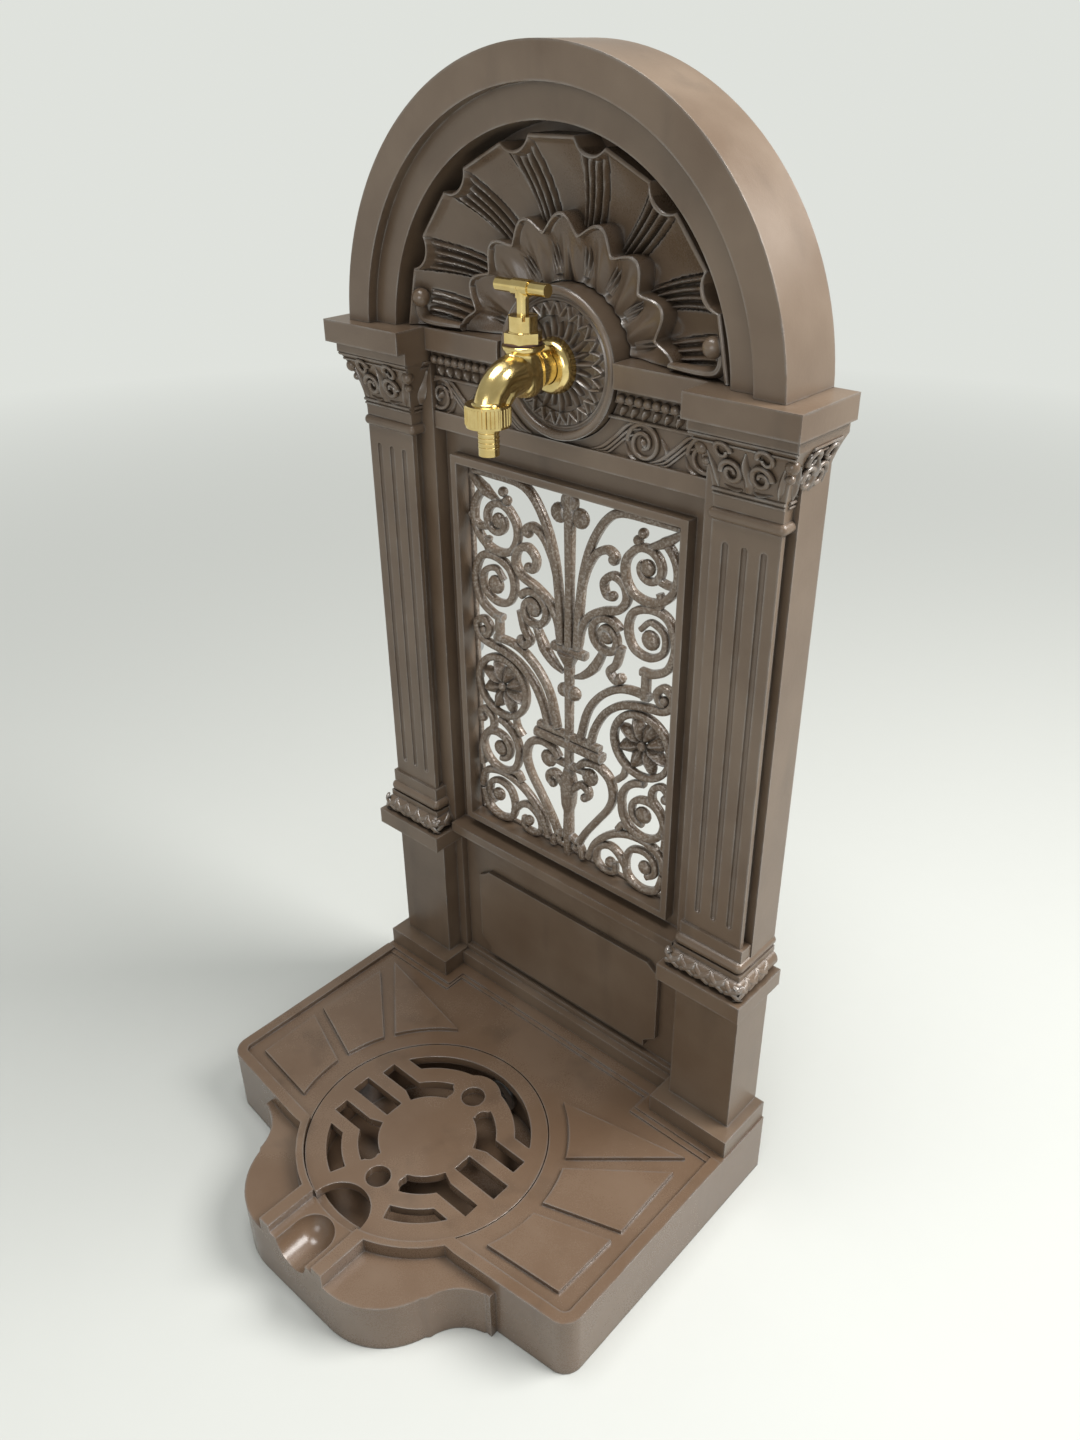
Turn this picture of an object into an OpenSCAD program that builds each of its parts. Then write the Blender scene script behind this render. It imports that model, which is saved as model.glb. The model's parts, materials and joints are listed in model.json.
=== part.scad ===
// Cast-metal wall fountain: an arched wall on a hollow base tray, with a brass bib tap.
// Millimetres. X runs to the right, Y to the rear, Z up. Inside the modules Y is
// measured from the wall's back plane; placed() moves it so that the origin is the
// centre of the footprint, on the floor.

/* [Base tray] */
// Width of the base tray
base_w = 400; // [380:1:440]
// Depth of the base tray at its front corners
base_d = 252.5; // [250:0.5:262]
// Height of the rim above the floor
rim_z = 61; // [56:1:66]
// Width of the raised rim
rim_w = 9.5; // [8:0.5:11]
// How far the deck lies below the rim
deck_drop = 4; // [3:0.5:5]
// Wall thickness of the castings
cast_t = 6; // [5:0.5:7]
// Radius of the two front corners
corner_r = 16; // [10:1:20]
// How far the front edge runs forward towards the middle
front_slope = 9; // [6:1:10]
// Half the width where the sloping front edge meets the ring round the grate
slope_x = 97; // [92:1:100]

/* [Apron] */
// Height of the lower front apron
apron_z = 48; // [44:1:50]
// Distance from the back plane to the front of the apron
apron_d = 340; // [336:1:350]
// Half the width of the apron where it meets the front of the base
apron_half = 135; // [130:1:138]
// Radius of the apron's round lobes
lobe_r = 62; // [56:1:64]
// Distance of a lobe's centre from the middle
lobe_x = 39; // [37:1:45]
// Radius of the hollow curve beside a lobe
hollow_r = 39; // [36:1:41]

/* [Trough] */
// Half the width over the trough's two side walls
trough_half = 37; // [35:1:40]
// Thickness of the trough's side walls
trough_wall = 11; // [9:1:13]
// Height of the trough's floor
trough_floor_z = 54; // [51:1:55]
// Radius of the half-round channel in the trough
channel_r = 17.5; // [14:0.5:19]

/* [Drain] */
// Distance from the back plane to the grate's centre
grate_y = 198; // [194:1:200]
// Radius of the grate
grate_r = 100.4; // [97:0.1:102]
// Thickness of the grate
grate_t = 8; // [6:1:10]
// Gap round the grate
grate_gap = 0.8; // [0.5:0.1:1.5]
// Radius of the sump below the grate
sump_r = 93; // [88:1:94]
// Height of the sump's floor
sump_z = 13; // [11:1:16]
// Radius of the wall round the front of the grate
ring_r = 107.5; // [106.5:0.5:110]
// Radius of a finger hole in the grate
finger_r = 10; // [8:0.5:11]
// Distance of the finger holes from the grate's centre
finger_d = 54; // [52:1:56]
// Outside radius of the drain pipe
drain_r = 10.45; // [9:0.05:11]
// Height of the drain pipe's axis
drain_z = 30; // [29:1:34]

/* [Wall] */
// Height of the pads that the pedestals stand on
seat_z = 60; // [58:0.5:62]
// Half the width of the middle wall, up to the pilasters
mid_half = 123; // [121:1:125]
// Distance of the wall's front face from its back plane
wall_y = 20.5; // [19:0.5:22]
// Height of the wall's upper edge, under the frieze
wall_top = 590; // [586:1:594]
// Height of the spring line of the arch
spring_z = 664; // [660:1:668]

/* [Window] */
// Half the width of the window opening
win_half = 104; // [96:1:106]
// Bottom of the window opening
win_z0 = 247; // [244:1:260]
// Top of the window opening
win_z1 = 566; // [540:1:568]
// Width of the raised frame round the window
frame_w = 6; // [5:0.5:6.5]
// Distance of the frame's front from the back plane
frame_y = 30; // [27:1:32]
// Depth of the grille's scrolls
grille_t = 7; // [5:0.5:8]
// Width of a scroll's bar
scroll_w = 6; // [5:0.2:6.4]

/* [Pilasters] */
// Half the width of a pilaster's shaft plate
shaft_half = 25; // [22:1:26]
// Distance of the pilasters' middle lines from the middle
pil_x = 161; // [159:1:163]
// Distance of the shaft plate's front from the back plane
shaft_y = 43; // [41:1:45]
// Distance of the pilaster's body front from the back plane
body_y = 32.6; // [30:0.2:34]
// Half the width of the pedestal's die
die_half = 29; // [27:1:31]
// Top of the foot block
foot_z = 77; // [74:1:80]
// Underside of the pedestal's cap
cap_z0 = 208; // [200:1:212]
// Top of the pedestal's cap
cap_z1 = 223; // [219:1:227]
// Bottom of the plain shaft
shaft_z0 = 264; // [260:1:268]
// Top of the plain shaft
shaft_z1 = 584; // [580:1:586]
// Underside of the impost block
impost_z = 648; // [645:1:650]
// Distance of the impost's front from the back plane
impost_y = 64; // [60:1:66]
// Radius of a flute
flute_r = 2.2; // [1.5:0.1:2.8]
// Distance between flutes
flute_gap = 14; // [11:1:15]

/* [Arch] */
// Outer radius of the arch
arch_r = 186; // [180:1:190]
// Height of the arch's centre
arch_cz = 655; // [652:1:658]
// Width of the outer band
band_w = 21.5; // [18:0.5:23]
// Width of the inner band
band2_w = 20.5; // [17:0.5:22]
// Distance of the outer band's front from the back plane
arch_y = 53; // [50:1:56]
// Distance of the inner band's front from the back plane
arch2_y = 45; // [42:1:47]
// Distance of the plate behind the shell from the back plane
tymp_y = 14; // [12:1:16]

/* [Rosette] */
// Radius of the rosette drum
drum_r = 50; // [44:1:52]
// Distance of the rosette's face from the back plane
drum_y = 36; // [34:1:40]

/* [Tap] */
// Distance of the tap's spindle from the back plane
spindle_y = 65; // [62:1:68]
// Distance of the spout's outlet from the back plane
outlet_y = 99; // [97:1:103]
// Outside radius of the inlet thread
inlet_r = 10.45; // [9.5:0.05:11]
// How far the inlet and the drain pipe stand out behind the wall
rear_out = 14; // [10:1:20]
// Radius of the wall flange
flange_r = 18.5; // [16:0.5:20]
// Outside radius of the tap's barrel
barrel_r = 14; // [13:0.5:15]
// Radius of the spindle
spindle_r = 4; // [3.5:0.1:4.5]
// Length of the handle's bar
bar_l = 42.5; // [38:0.5:50]
// Radius of the handle's bar
bar_r = 4.2; // [3.5:0.1:5]
// Outside radius of the hose nut
nut_r = 15; // [14:0.5:16]
// Radius of the hose tail
tail_r = 7.3; // [6.5:0.1:8]
// Length of the hose tail below its nut
tail_l = 19; // [15:1:25]

/* [Fasteners] */
// Thread radius of the foot and arch bolts
m8 = 4; // [3:0.5:5]
// Thread radius of the bolts between the castings
m6 = 3; // [2.5:0.5:4]
// Thread radius of the panel and plaque screws
m5 = 2.5; // [2:0.5:3]
// Thread radius of the grille screws
m4 = 2; // [1.5:0.25:2.25]
// Radial clearance of a bolt in its clearance hole
bolt_gap = 0.5; // [0.3:0.1:0.8]
// Radial clearance of a running fit or a thread
fit = 0.05; // [0.02:0.01:0.08]

/* [Hidden] */
$fn = 64;
e = 0.5;                                    // overshoot of a cut past a face
paint = [0.42, 0.35, 0.28];
paint_dark = [0.36, 0.31, 0.26];
brass = [0.83, 0.66, 0.30];
steel = [0.62, 0.63, 0.64];
rubber = [0.10, 0.10, 0.10];
fibre = [0.45, 0.20, 0.14];

half_w = base_w / 2;
deck_z = rim_z - deck_drop;
deck_under = deck_z - cast_t;
grate_z = deck_z - grate_t;                 // ledge that the grate lies on
seat_r = grate_r + grate_gap;
channel_end = grate_y + seat_r + 20;        // centre of the channel's round end
cap_half = die_half + 8.5;
inner_r = arch_r - band_w - band2_w;        // opening of the arch
seat_y = tymp_y - cast_t;                   // rear face of the plate behind the rosette
panel_x = half_w - 25;                      // outer edge of the raised deck panels
slot_r = [41, 57, 73, 86];                  // radii that bound the grate's curved slots
pocket_x0 = pil_x - die_half + 3;           // hollow of a pilaster
pocket_x1 = pil_x + shaft_half - 4;
pocket_y = body_y - cast_t;
pocket_z1 = spring_z - 8;
back_y = wall_y - cast_t;                   // rear face of the wall panel's plate
flange_t = 8;                               // thickness of the flanges that are bolted together
frame_half = win_half + frame_w;            // half the width over the window's frame
rebate = 9;                                 // overlap of the grille behind the opening
lip_y = wall_y - 4;                         // the grille's border lies behind the plate's lip
grille_off = lip_y - 4;                     // rear of the grille
grille_y = wall_y + 1.5;                    // front of the scrolls
plate_y = 25.5;                             // front of the raised lower plate
frieze_y = 27;                              // front of the frieze's plain face
plaque_angles = [30, 90, 150];              // places of the shell plaque's screws
plaque_r = 118;
barrel_top = 674;
seat_top = 658;                             // valve seat
outlet_z = 643;                             // lower end of the spout
bonnet_top = barrel_top + 13.5;
gland_top = bonnet_top + 4;
bar_z = gland_top + 16.5;
nut_h = 14;                                 // height of the hose nut
nut_z0 = outlet_z - nut_h;
flange_y = drum_y - 1.7;                    // the tap flange's seat on the rosette
body_front = flange_y + 10.4;               // where the tap's shoulder meets the flange
shank_r = inlet_r - 0.3;                    // the shank inside the wall, behind the rear spigot
waste_r = drain_r - 0.3;
spout_r = 10.2;
spout_bend = 20;                            // radius of the spout's bend
bore_r = 4.8;                               // bore of the spout
pin_r = 1.2;
head_r = 4.4;                               // radius of a screw's head
sump_back = grate_y - sump_r;               // inner face of the sump's wall, on the middle line
sump_out = grate_y - ring_r + 0.5;          // outer face of the same wall
bolt_y = 30;                                // distance of the foot bolts from the back plane
arch_bolt_y = 16;
side_bolt_y = 4.6;
side_bolt_z = [110, 210, 400, 560];
beam_bolt_z = 628;
foot_bolt_x = [pil_x - 16, pil_x + 16];
arch_bolt_x = arch_r - 22;
panel_screw_x = 80;
panel_screw_z = [115, 160];
grille_screw_x = win_half + frame_w / 2;
grille_screw_z = [win_z0 - 3, (win_z0 + win_z1) / 2 - 55, (win_z0 + win_z1) / 2 + 55, win_z1 + 3];

module placed() { translate([0, (apron_d - rear_out) / 2, 0]) children(); }
module both() { children(); mirror([1, 0, 0]) children(); }
// A box from two corners, with Y as a distance in front of the back plane.
module slab(x0, x1, y0, y1, z0, z1) { translate([x0, -y1, z0]) cube([x1 - x0, y1 - y0, z1 - z0]); }
// A cylinder along Y between two distances in front of the back plane.
module rod_y(r, y0, y1, x, z) { translate([x, -y0, z]) rotate([90, 0, 0]) cylinder(r = r, h = y1 - y0); }
module rod_x(r, x0, x1, y, z) { translate([x0, -y, z]) rotate([0, 90, 0]) cylinder(r = r, h = x1 - x0); }
module tube(r1, r0, h) { difference() { cylinder(r = r1, h = h); translate([0, 0, -e]) cylinder(r = r0, h = h + 2 * e); } }
module hex(af, h) { cylinder(r = af / 2 / cos(30), h = h, $fn = 6); }

// ---- base tray ----
// Outline of the deck, drawn smaller by "inset". Y is negative towards the front.
module deck_outline(inset = 0) {
    w = half_w - inset;
    r = corner_r - min(inset, corner_r - 1);
    cx = w - r;
    cy = -(base_d - corner_r) - (corner_r - inset - r);
    polygon([[-w, -inset], [w, -inset], [w, cy], [cx, cy - r], [slope_x - inset, -(base_d + front_slope - inset)],
        [-(slope_x - inset), -(base_d + front_slope - inset)], [-cx, cy - r], [-w, cy]]);
    for (s = [-1, 1]) translate([s * cx, cy]) circle(r = r);
    translate([0, -grate_y]) circle(r = ring_r - inset);
}
module apron_outline(inset = 0) {
    difference() {
        union() {
            for (s = [-1, 1]) translate([s * lobe_x, -(apron_d - lobe_r)]) circle(r = lobe_r - inset);
            translate([-lobe_x, -apron_d + inset]) square([2 * lobe_x, 120]);
            translate([-apron_half + inset, -(base_d + front_slope + 2 - inset)]) square([2 * (apron_half - inset), 60]);
            polygon([for (p = [[lobe_x + lobe_r * cos(18), -(apron_d - lobe_r) - lobe_r * sin(18)], [apron_half - 2, -(base_d + 8)], [0, -(base_d - 20)]])
                [p[0] - inset, p[1] + inset], [-(apron_half - 2 - inset), -(base_d + 8 - inset)],
                [-(lobe_x + lobe_r * cos(18) - inset), -(apron_d - lobe_r) - lobe_r * sin(18) + inset]]);
        }
        for (s = [-1, 1]) translate([s * (apron_half + 4), -(base_d + front_slope + 2 + hollow_r)]) circle(r = hollow_r + inset);
    }
}
// Deck panel with a round inner edge, for the right-hand side.
module deck_panel(points) {
    difference() {
        polygon(points);
        translate([0, -grate_y]) circle(r = ring_r + 10);
    }
}
module deck_panels() {
    deck_panel([[panel_x, -(base_d - 20)], [90, -(base_d - 10.5)], [90, -(grate_y + 8)], [panel_x + 2, -(grate_y - 23)]]);
    deck_panel([[panel_x + 3, -(grate_y - 34)], [90, -(grate_y - 4)], [90, -(grate_y - 33.5)], [panel_x + 1, -(grate_y - 103)]]);
    deck_panel([[panel_x, -(grate_y - 120.5)], [90, -(grate_y - 45.5)], [50, -(grate_y - 96)]]);
}
module base_tray() {
    color(paint) placed() difference() {
        union() {
            // rim, deck and front apron, with the raised panels
            difference() {
                linear_extrude(rim_z) deck_outline();
                translate([0, 0, deck_z]) linear_extrude(rim_z) deck_outline(rim_w);
                translate([0, 0, -e]) linear_extrude(deck_under + e) deck_outline(cast_t);
            }
            translate([0, 0, deck_z - e]) linear_extrude(3.5 + e) both() deck_panels();
            difference() {
                linear_extrude(apron_z) apron_outline();
                translate([0, 0, -e]) linear_extrude(apron_z - cast_t + e) apron_outline(cast_t);
            }
            // pads and stepped plinth under the wall
            both() {
                slab(mid_half - 10, half_w - 1, 0, 63, deck_under, seat_z);
                slab(mid_half - 12, half_w - rim_w, 0, 68, deck_under, deck_z + 1.5);
            }
            slab(-mid_half, mid_half, 0, 44, deck_under, seat_z);
            slab(-mid_half, mid_half, 0, 48, deck_under, deck_z + 1.5);
            // sump, the ring round the grate and the trough block
            translate([0, -grate_y, sump_z - 5]) cylinder(r = ring_r - 0.5, h = deck_z - sump_z + 5);
            slab(-trough_half, trough_half, grate_y + 70, apron_d, 26, rim_z);
            // boss for the drain pipe in the rear wall
            rod_y(drain_r + 7, 0, 12, 0, drain_z);
        }
        translate([0, -grate_y, grate_z]) cylinder(r = seat_r, h = 40);
        translate([0, -grate_y, sump_z]) cylinder(r = sump_r, h = 60);
        // level seat for the wall
        slab(-half_w - e, half_w + e, -e, 63, seat_z, rim_z + e);
        // trough between its walls, and the half-round channel with a round end
        slab(-trough_half + trough_wall, trough_half - trough_wall, grate_y + seat_r - 3, apron_d + e, trough_floor_z, rim_z + e);
        rod_y(channel_r, channel_end, apron_d + e, 0, trough_floor_z);
        translate([0, -channel_end, trough_floor_z]) rotate([90, 0, 0]) sphere(r = channel_r);
        // drain pipe through the sump's wall and the rear wall
        rod_y(drain_r + bolt_gap, -e, grate_y - sump_r + 10, 0, drain_z);
        both() for (x = foot_bolt_x) translate([x, -bolt_y, deck_under - e]) cylinder(r = m8 + bolt_gap, h = 20);
    }
}

// ---- grate ----
module ring_2d(r0, r1) { difference() { circle(r = r1); circle(r = r0); } }
module bent_slot() {
    translate([slot_r[0] - 3, 20.5]) square([81.5 - slot_r[0], 13]);
    intersection() {
        ring_2d(slot_r[0], slot_r[1]);
        polygon([[0, 0], [90, 38], [90, 60], [40, 95]]);
    }
    translate([22.5, 43.5]) circle(r = 6.5);
}
module grate_slots() {
    for (s = [-1, 1]) translate([0, s * finger_d]) circle(r = finger_r);
    both() {
        translate([slot_r[0], -8]) square([43, 16]);
        bent_slot();
        mirror([0, 1, 0]) bent_slot();
        intersection() {
            ring_2d(slot_r[2] - 2, slot_r[3] - 3);
            polygon([[0, 0], [30, -72], [70, -168], [120, -45], [40, -45]]);
        }
    }
    difference() {
        intersection() { ring_2d(slot_r[2], slot_r[3]); translate([-90, 46]) square([180, 60]); }
        translate([0, finger_d]) circle(r = 24);
    }
}
module drain_grate() {
    color(paint) placed() translate([0, -grate_y, grate_z]) linear_extrude(grate_t) difference() {
        circle(r = grate_r, $fn = 96);
        grate_slots();
        translate([0, -(seat_r - 5.5)]) circle(r = 25.5);
    }
}

// ---- pilasters ----
// A moulding with a half-round edge on its front and outer side.
module roll(half, depth, z0, z1) {
    r = (z1 - z0) / 2;
    zc = (z0 + z1) / 2;
    slab(pil_x - half + r, pil_x + half - r, 0, depth - r, z0, z1);
    rod_x(r, pil_x - half + r, pil_x + half - r, depth - r, zc);
    for (s = [-1, 1]) {
        rod_y(r, 0, depth - r, pil_x + s * (half - r), zc);
        translate([pil_x + s * (half - r), -(depth - r), zc]) sphere(r = r);
    }
}
// The bell of the capital: two flared outlines crossed.
function flare(t) = 13 * pow(t, 2.2);
module bell() {
    n = 8;
    z0 = shaft_z1 + 8;
    h = impost_z - 8 - z0;
    intersection() {
        translate([pil_x, 0, z0]) rotate([90, 0, 0]) linear_extrude(impost_y) polygon(concat(
            [for (i = [0:n]) [shaft_half + flare(i / n), h * i / n]], [for (i = [n:-1:0]) [-shaft_half - flare(i / n), h * i / n]]));
        translate([0, 0, z0]) rotate([90, 0, 90]) linear_extrude(pil_x + shaft_half + 20) polygon(concat(
            [for (i = [0:n]) [-(shaft_y + flare(i / n)), h * i / n]], [[0, h], [0, 0]]));
    }
}
module flute(x) {
    r = flute_r;
    z0 = shaft_z0 + 13.5 + r;
    z1 = shaft_z1 - 13 - r;
    translate([x, -shaft_y, z0]) cylinder(r = r, h = z1 - z0, $fn = 24);
    for (z = [z0, z1]) translate([x, -shaft_y, z]) sphere(r = r, $fn = 24);
}
module pilaster() {
    difference() {
        union() {
            slab(mid_half, pil_x + cap_half, 0, 57, seat_z, foot_z);
            slab(pil_x - die_half, pil_x + die_half, 0, 42, foot_z, cap_z0);
            slab(mid_half, pil_x - die_half + e, 0, wall_y + 6, foot_z, cap_z0);
            slab(mid_half, pil_x + cap_half, 0, 58, cap_z0, cap_z1);
            roll(34, 54, cap_z1, cap_z1 + 15);
            slab(pil_x - 30, pil_x + 30, 0, 48, cap_z1 + 15, cap_z1 + 20);
            roll(30.5, 49, cap_z1 + 20, cap_z1 + 30);
            slab(pil_x - 27, pil_x + 28, 0, 45, cap_z1 + 30, shaft_z0);
            // body of the column with the shaft plate in front of it
            slab(mid_half, pil_x + shaft_half + 4, 0, body_y, cap_z1, impost_z);
            slab(pil_x - shaft_half + 3, pil_x + shaft_half - 3, 0, shaft_y - 4, shaft_z0, shaft_z1);
            slab(pil_x - shaft_half, pil_x + shaft_half, shaft_y - 4, shaft_y, shaft_z0, shaft_z1);
            roll(28, 46, shaft_z1, shaft_z1 + 8);
            bell();
            slab(mid_half, pil_x + shaft_half + 13, 0, 57, impost_z - 8, impost_z);
            slab(mid_half, pil_x + shaft_half + 17, 0, impost_y, impost_z, spring_z);
        }
        for (i = [-1:1]) flute(pil_x + i * flute_gap);
        // hollow rear
        slab(pocket_x0, pocket_x1, -e, pocket_y, foot_z + 13, pocket_z1);
        for (x = foot_bolt_x) translate([x, -bolt_y, seat_z - e]) cylinder(r = m8 + fit, h = foot_z - seat_z);
        for (z = concat(side_bolt_z, beam_bolt_z)) rod_x(m6 + bolt_gap, mid_half - e, pocket_x0 + e, side_bolt_y, z);
        translate([arch_bolt_x, -arch_bolt_y, pocket_z1 - e]) cylinder(r = m8 + bolt_gap, h = 20);
    }
}
module right_pilaster() { color(paint) placed() pilaster(); }
module left_pilaster() { color(paint) placed() mirror([1, 0, 0]) pilaster(); }

// ---- wall panel ----
module grille_places() { for (s = [-1, 1], z = grille_screw_z) translate([s * grille_screw_x, 0, z]) children(); }
module wall_panel() {
    color(paint) placed() difference() {
        union() {
            slab(-mid_half, mid_half, back_y, wall_y, seat_z, wall_top);
            both() slab(mid_half - flange_t, mid_half, 0, back_y, seat_z, wall_top);
            slab(-mid_half, mid_half, 0, back_y, seat_z, seat_z + 10);
            slab(-mid_half, mid_half, 0, back_y, wall_top - flange_t, wall_top);
            // plinth moulding, sill and raised window frame
            slab(-mid_half, mid_half, wall_y, 33, seat_z, seat_z + 14);
            slab(-mid_half, mid_half, wall_y, 26, seat_z + 14, seat_z + 20);
            slab(-mid_half, mid_half, wall_y, 38, cap_z1 - 1, cap_z1 + 8);
            slab(-mid_half, mid_half, wall_y, 30, cap_z1 - 9, cap_z1 - 1);
            slab(-frame_half, frame_half, wall_y, frame_y, win_z0 - frame_w, win_z1 + frame_w);
        }
        slab(-win_half, win_half, -e, frame_y + e, win_z0, win_z1);
        slab(-win_half - rebate, win_half + rebate, -e, lip_y, win_z0 - rebate, win_z1 + rebate);
        grille_places() rod_y(m4 + fit, lip_y - e, lip_y + 9, 0, 0);
        both() {
            for (z = side_bolt_z) rod_x(m6 + bolt_gap, mid_half - flange_t - e, mid_half + e, side_bolt_y, z);
            for (z = panel_screw_z) rod_y(m5 + bolt_gap, back_y - e, wall_y + e, panel_screw_x, z);
        }
    }
}

// ---- scrollwork grille ----
// A curved bar through three points, as a flat outline.
function mid_cross(p, q) = (q * q - p * p) / 2;
function centre_of(p, q, s) = let (d = cross(q - p, s - p))
    [mid_cross(p, q) * (s - p)[1] - mid_cross(p, s) * (q - p)[1], mid_cross(p, s) * (q - p)[0] - mid_cross(p, q) * (s - p)[0]] / d;
function turn(a) = a < 0 ? a + 360 : a;
module bar_2d(p, q, s, w = scroll_w) {
    c = centre_of(p, q, s);
    r = norm(p - c);
    a0 = atan2((p - c)[1], (p - c)[0]);
    sweep = turn(atan2((s - c)[1], (s - c)[0]) - a0);
    along = turn(atan2((q - c)[1], (q - c)[0]) - a0) < sweep ? sweep : sweep - 360;
    translate(c) intersection() {
        ring_2d(r - w / 2, r + w / 2);
        polygon(concat([[0, 0]], [for (i = [0:3]) 3 * r * [cos(a0 + along * i / 3), sin(a0 + along * i / 3)]]));
    }
}
// A volute: a ring with a smaller coil in it.
module volute_2d(x, z, r, coil, side) {
    translate([x, z]) {
        ring_2d(r - scroll_w, r);
        circle(r = coil);
        rotate(side) translate([0, -scroll_w / 2]) square([r - 1, scroll_w]);
    }
}
module star_2d() {
    ring_2d(24, 30);
    circle(r = 5);
    for (i = [0:7]) rotate(45 * i) polygon([[3, 0], [13, 4.5], [26, 0], [13, -4.5]]);
}
// Right-hand half, measured from the bottom of the window.
module half_scrolls() {
    h = win_z1 - win_z0;
    // sprays that rise from the upper collar, and the corner volute
    bar_2d([7, 196], [17, 270], [50, h - 6]);
    bar_2d([50, h - 6], [72, h - 5], [100, h - 9]);
    volute_2d(72, 279, 27, 13, 130);
    bar_2d([12, 246], [22, 276], [38, 282]);
    bar_2d([38, 282], [46, 279], [47, 272]);
    bar_2d([9, 198], [24, 229], [47, 238.5]);
    bar_2d([47, 238.5], [54, 250], [42, 264]);
    bar_2d([42, 264], [34, 256], [41, 248]);
    volute_2d(36, 215.5, 15, 6, 60);
    bar_2d([32, 204], [24, 187], [3, 175]);
    bar_2d([46, 206], [41, 190], [51, 184]);
    volute_2d(77, 227, 23.5, 11, 200);
    bar_2d([98, 215], [90, 203], [74, 198]);
    translate([71, 175]) square([scroll_w, 25]);
    // sprays that rise from the crossbar
    bar_2d([74, 178], [35, 166], [12, 116]);
    bar_2d([100, 172], [52, 162], [22, 116]);
    bar_2d([100, 178], [90, 190], [84, 184]);
    bar_2d([84, 184], [87, 177], [92, 179]);
    translate([72, 134.5]) star_2d();
    // lower volutes
    bar_2d([72, 106], [54, 78], [66, 54]);
    bar_2d([66, 54], [82, 51], [98, 70]);
    volute_2d(76, 74, 21, 10, 250);
    bar_2d([98, 70], [93, 84], [84, 92]);
    bar_2d([84, 92], [86, 104], [99, 102]);
    bar_2d([21, 4], [40, 38], [79, 49]);
    bar_2d([79, 49], [94, 42], [100, 28]);
    volute_2d(78, 22, 20, 9, 100);
    volute_2d(45, 12, 14, 6, 20);
    // heart round the palmette
    bar_2d([8, 92], [24, 100], [42, 92]);
    bar_2d([42, 92], [46, 78], [38, 58]);
    bar_2d([38, 58], [24, 36], [9, 14]);
    translate([22, 87]) circle(r = 8.5);
    bar_2d([5, 74], [16, 70], [26, 75]);
    bar_2d([5, 64], [13, 60], [22, 64]);
}
module scroll_grille() {
    h = win_z1 - win_z0;
    o = rebate - 0.5;
    color(paint_dark) placed() difference() {
        translate([0, -grille_off, 0]) rotate([90, 0, 0]) union() {
            // border behind the lip of the opening
            linear_extrude(lip_y - grille_off) difference() {
                translate([-win_half - o, win_z0 - o]) square([2 * (win_half + o), h + 2 * o]);
                translate([-win_half + 3, win_z0 + 3]) square([2 * win_half - 6, h - 6]);
            }
            translate([0, win_z0, grille_y - grille_off - grille_t]) linear_extrude(grille_t) intersection() {
                translate([-win_half + 0.4, 0.4]) square([2 * win_half - 0.8, h - 0.8]);
                union() {
                    translate([-3, 0.4]) square([6, h - 0.8]);
                    translate([-16, 188]) square([32, 7]);
                    translate([-33, 104]) square([66, 14]);
                    translate([0, 155.5]) circle(r = 8);
                    translate([0, h - 10]) circle(r = 9);
                    translate([-6, 42]) square([12, 46]);
                    translate([0, 42]) circle(r = 6);
                    translate([-20, 86]) square([40, 4]);
                    bar_2d([16, 4], [0, 16], [-16, 4]);
                    both() {
                        translate([10, 299.5]) circle(r = 8);
                        half_scrolls();
                    }
                }
            }
        }
        grille_places() rod_y(m4 + bolt_gap / 2, grille_off - e, lip_y + e, 0, 0);
    }
}

// ---- lower panel ----
module lower_panel() {
    w = mid_half - 20;
    z0 = seat_z + 28;
    z1 = cap_z0 - 25;
    c = 12;                                 // clipped corners
    color(paint) placed() difference() {
        translate([0, -wall_y, 0]) rotate([90, 0, 0]) linear_extrude(plate_y - wall_y) polygon([[-w + c, z0], [w - c, z0], [w - c, z0 + 7],
            [w, z0 + c + 4], [w, z1 - c + 4], [w - 6, z1 - c + 7], [w - c, z1], [-w + c, z1], [-w + 6, z1 - c + 7],
            [-w, z1 - c + 4], [-w, z0 + c + 4], [-w + c, z0 + 7]]);
        both() for (z = panel_screw_z) rod_y(m5 + fit, wall_y - e, wall_y + 3.5, panel_screw_x, z);
    }
}

// ---- frieze beam ----
module frieze_beam() {
    color(paint) placed() difference() {
        union() {
            slab(-mid_half, mid_half, seat_y, tymp_y, wall_top, spring_z);
            both() slab(mid_half - flange_t, mid_half, 0, seat_y + e, wall_top, spring_z - 8);
            slab(-mid_half, mid_half, tymp_y, frieze_y, wall_top, spring_z);
            slab(-mid_half, mid_half, tymp_y, 31, wall_top, wall_top + 13);
            slab(-mid_half, mid_half, tymp_y, 31, 638, 648);
            slab(-mid_half, mid_half, tymp_y, 37, 648, spring_z);
        }
        rod_y(drum_r + 0.8, tymp_y, 60, 0, arch_cz);
        slab(-mid_half + flange_t, -drum_r - 6, tymp_y, 22, wall_top + 8, spring_z - 8);
        slab(drum_r + 6, mid_half - flange_t, tymp_y, 22, wall_top + 8, spring_z - 8);
        both() slab(drum_r + 14, mid_half - 16, seat_y - e, tymp_y + e, wall_top + 16, spring_z - 16);
        rod_y(inlet_r + bolt_gap, -e, 40, 0, arch_cz);
        both() {
            rod_x(m6 + bolt_gap, mid_half - flange_t - e, mid_half + e, side_bolt_y, beam_bolt_z);
            rod_x(head_r + 1, mid_half - flange_t - 5, mid_half - flange_t, side_bolt_y, beam_bolt_z);
        }
    }
}

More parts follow.
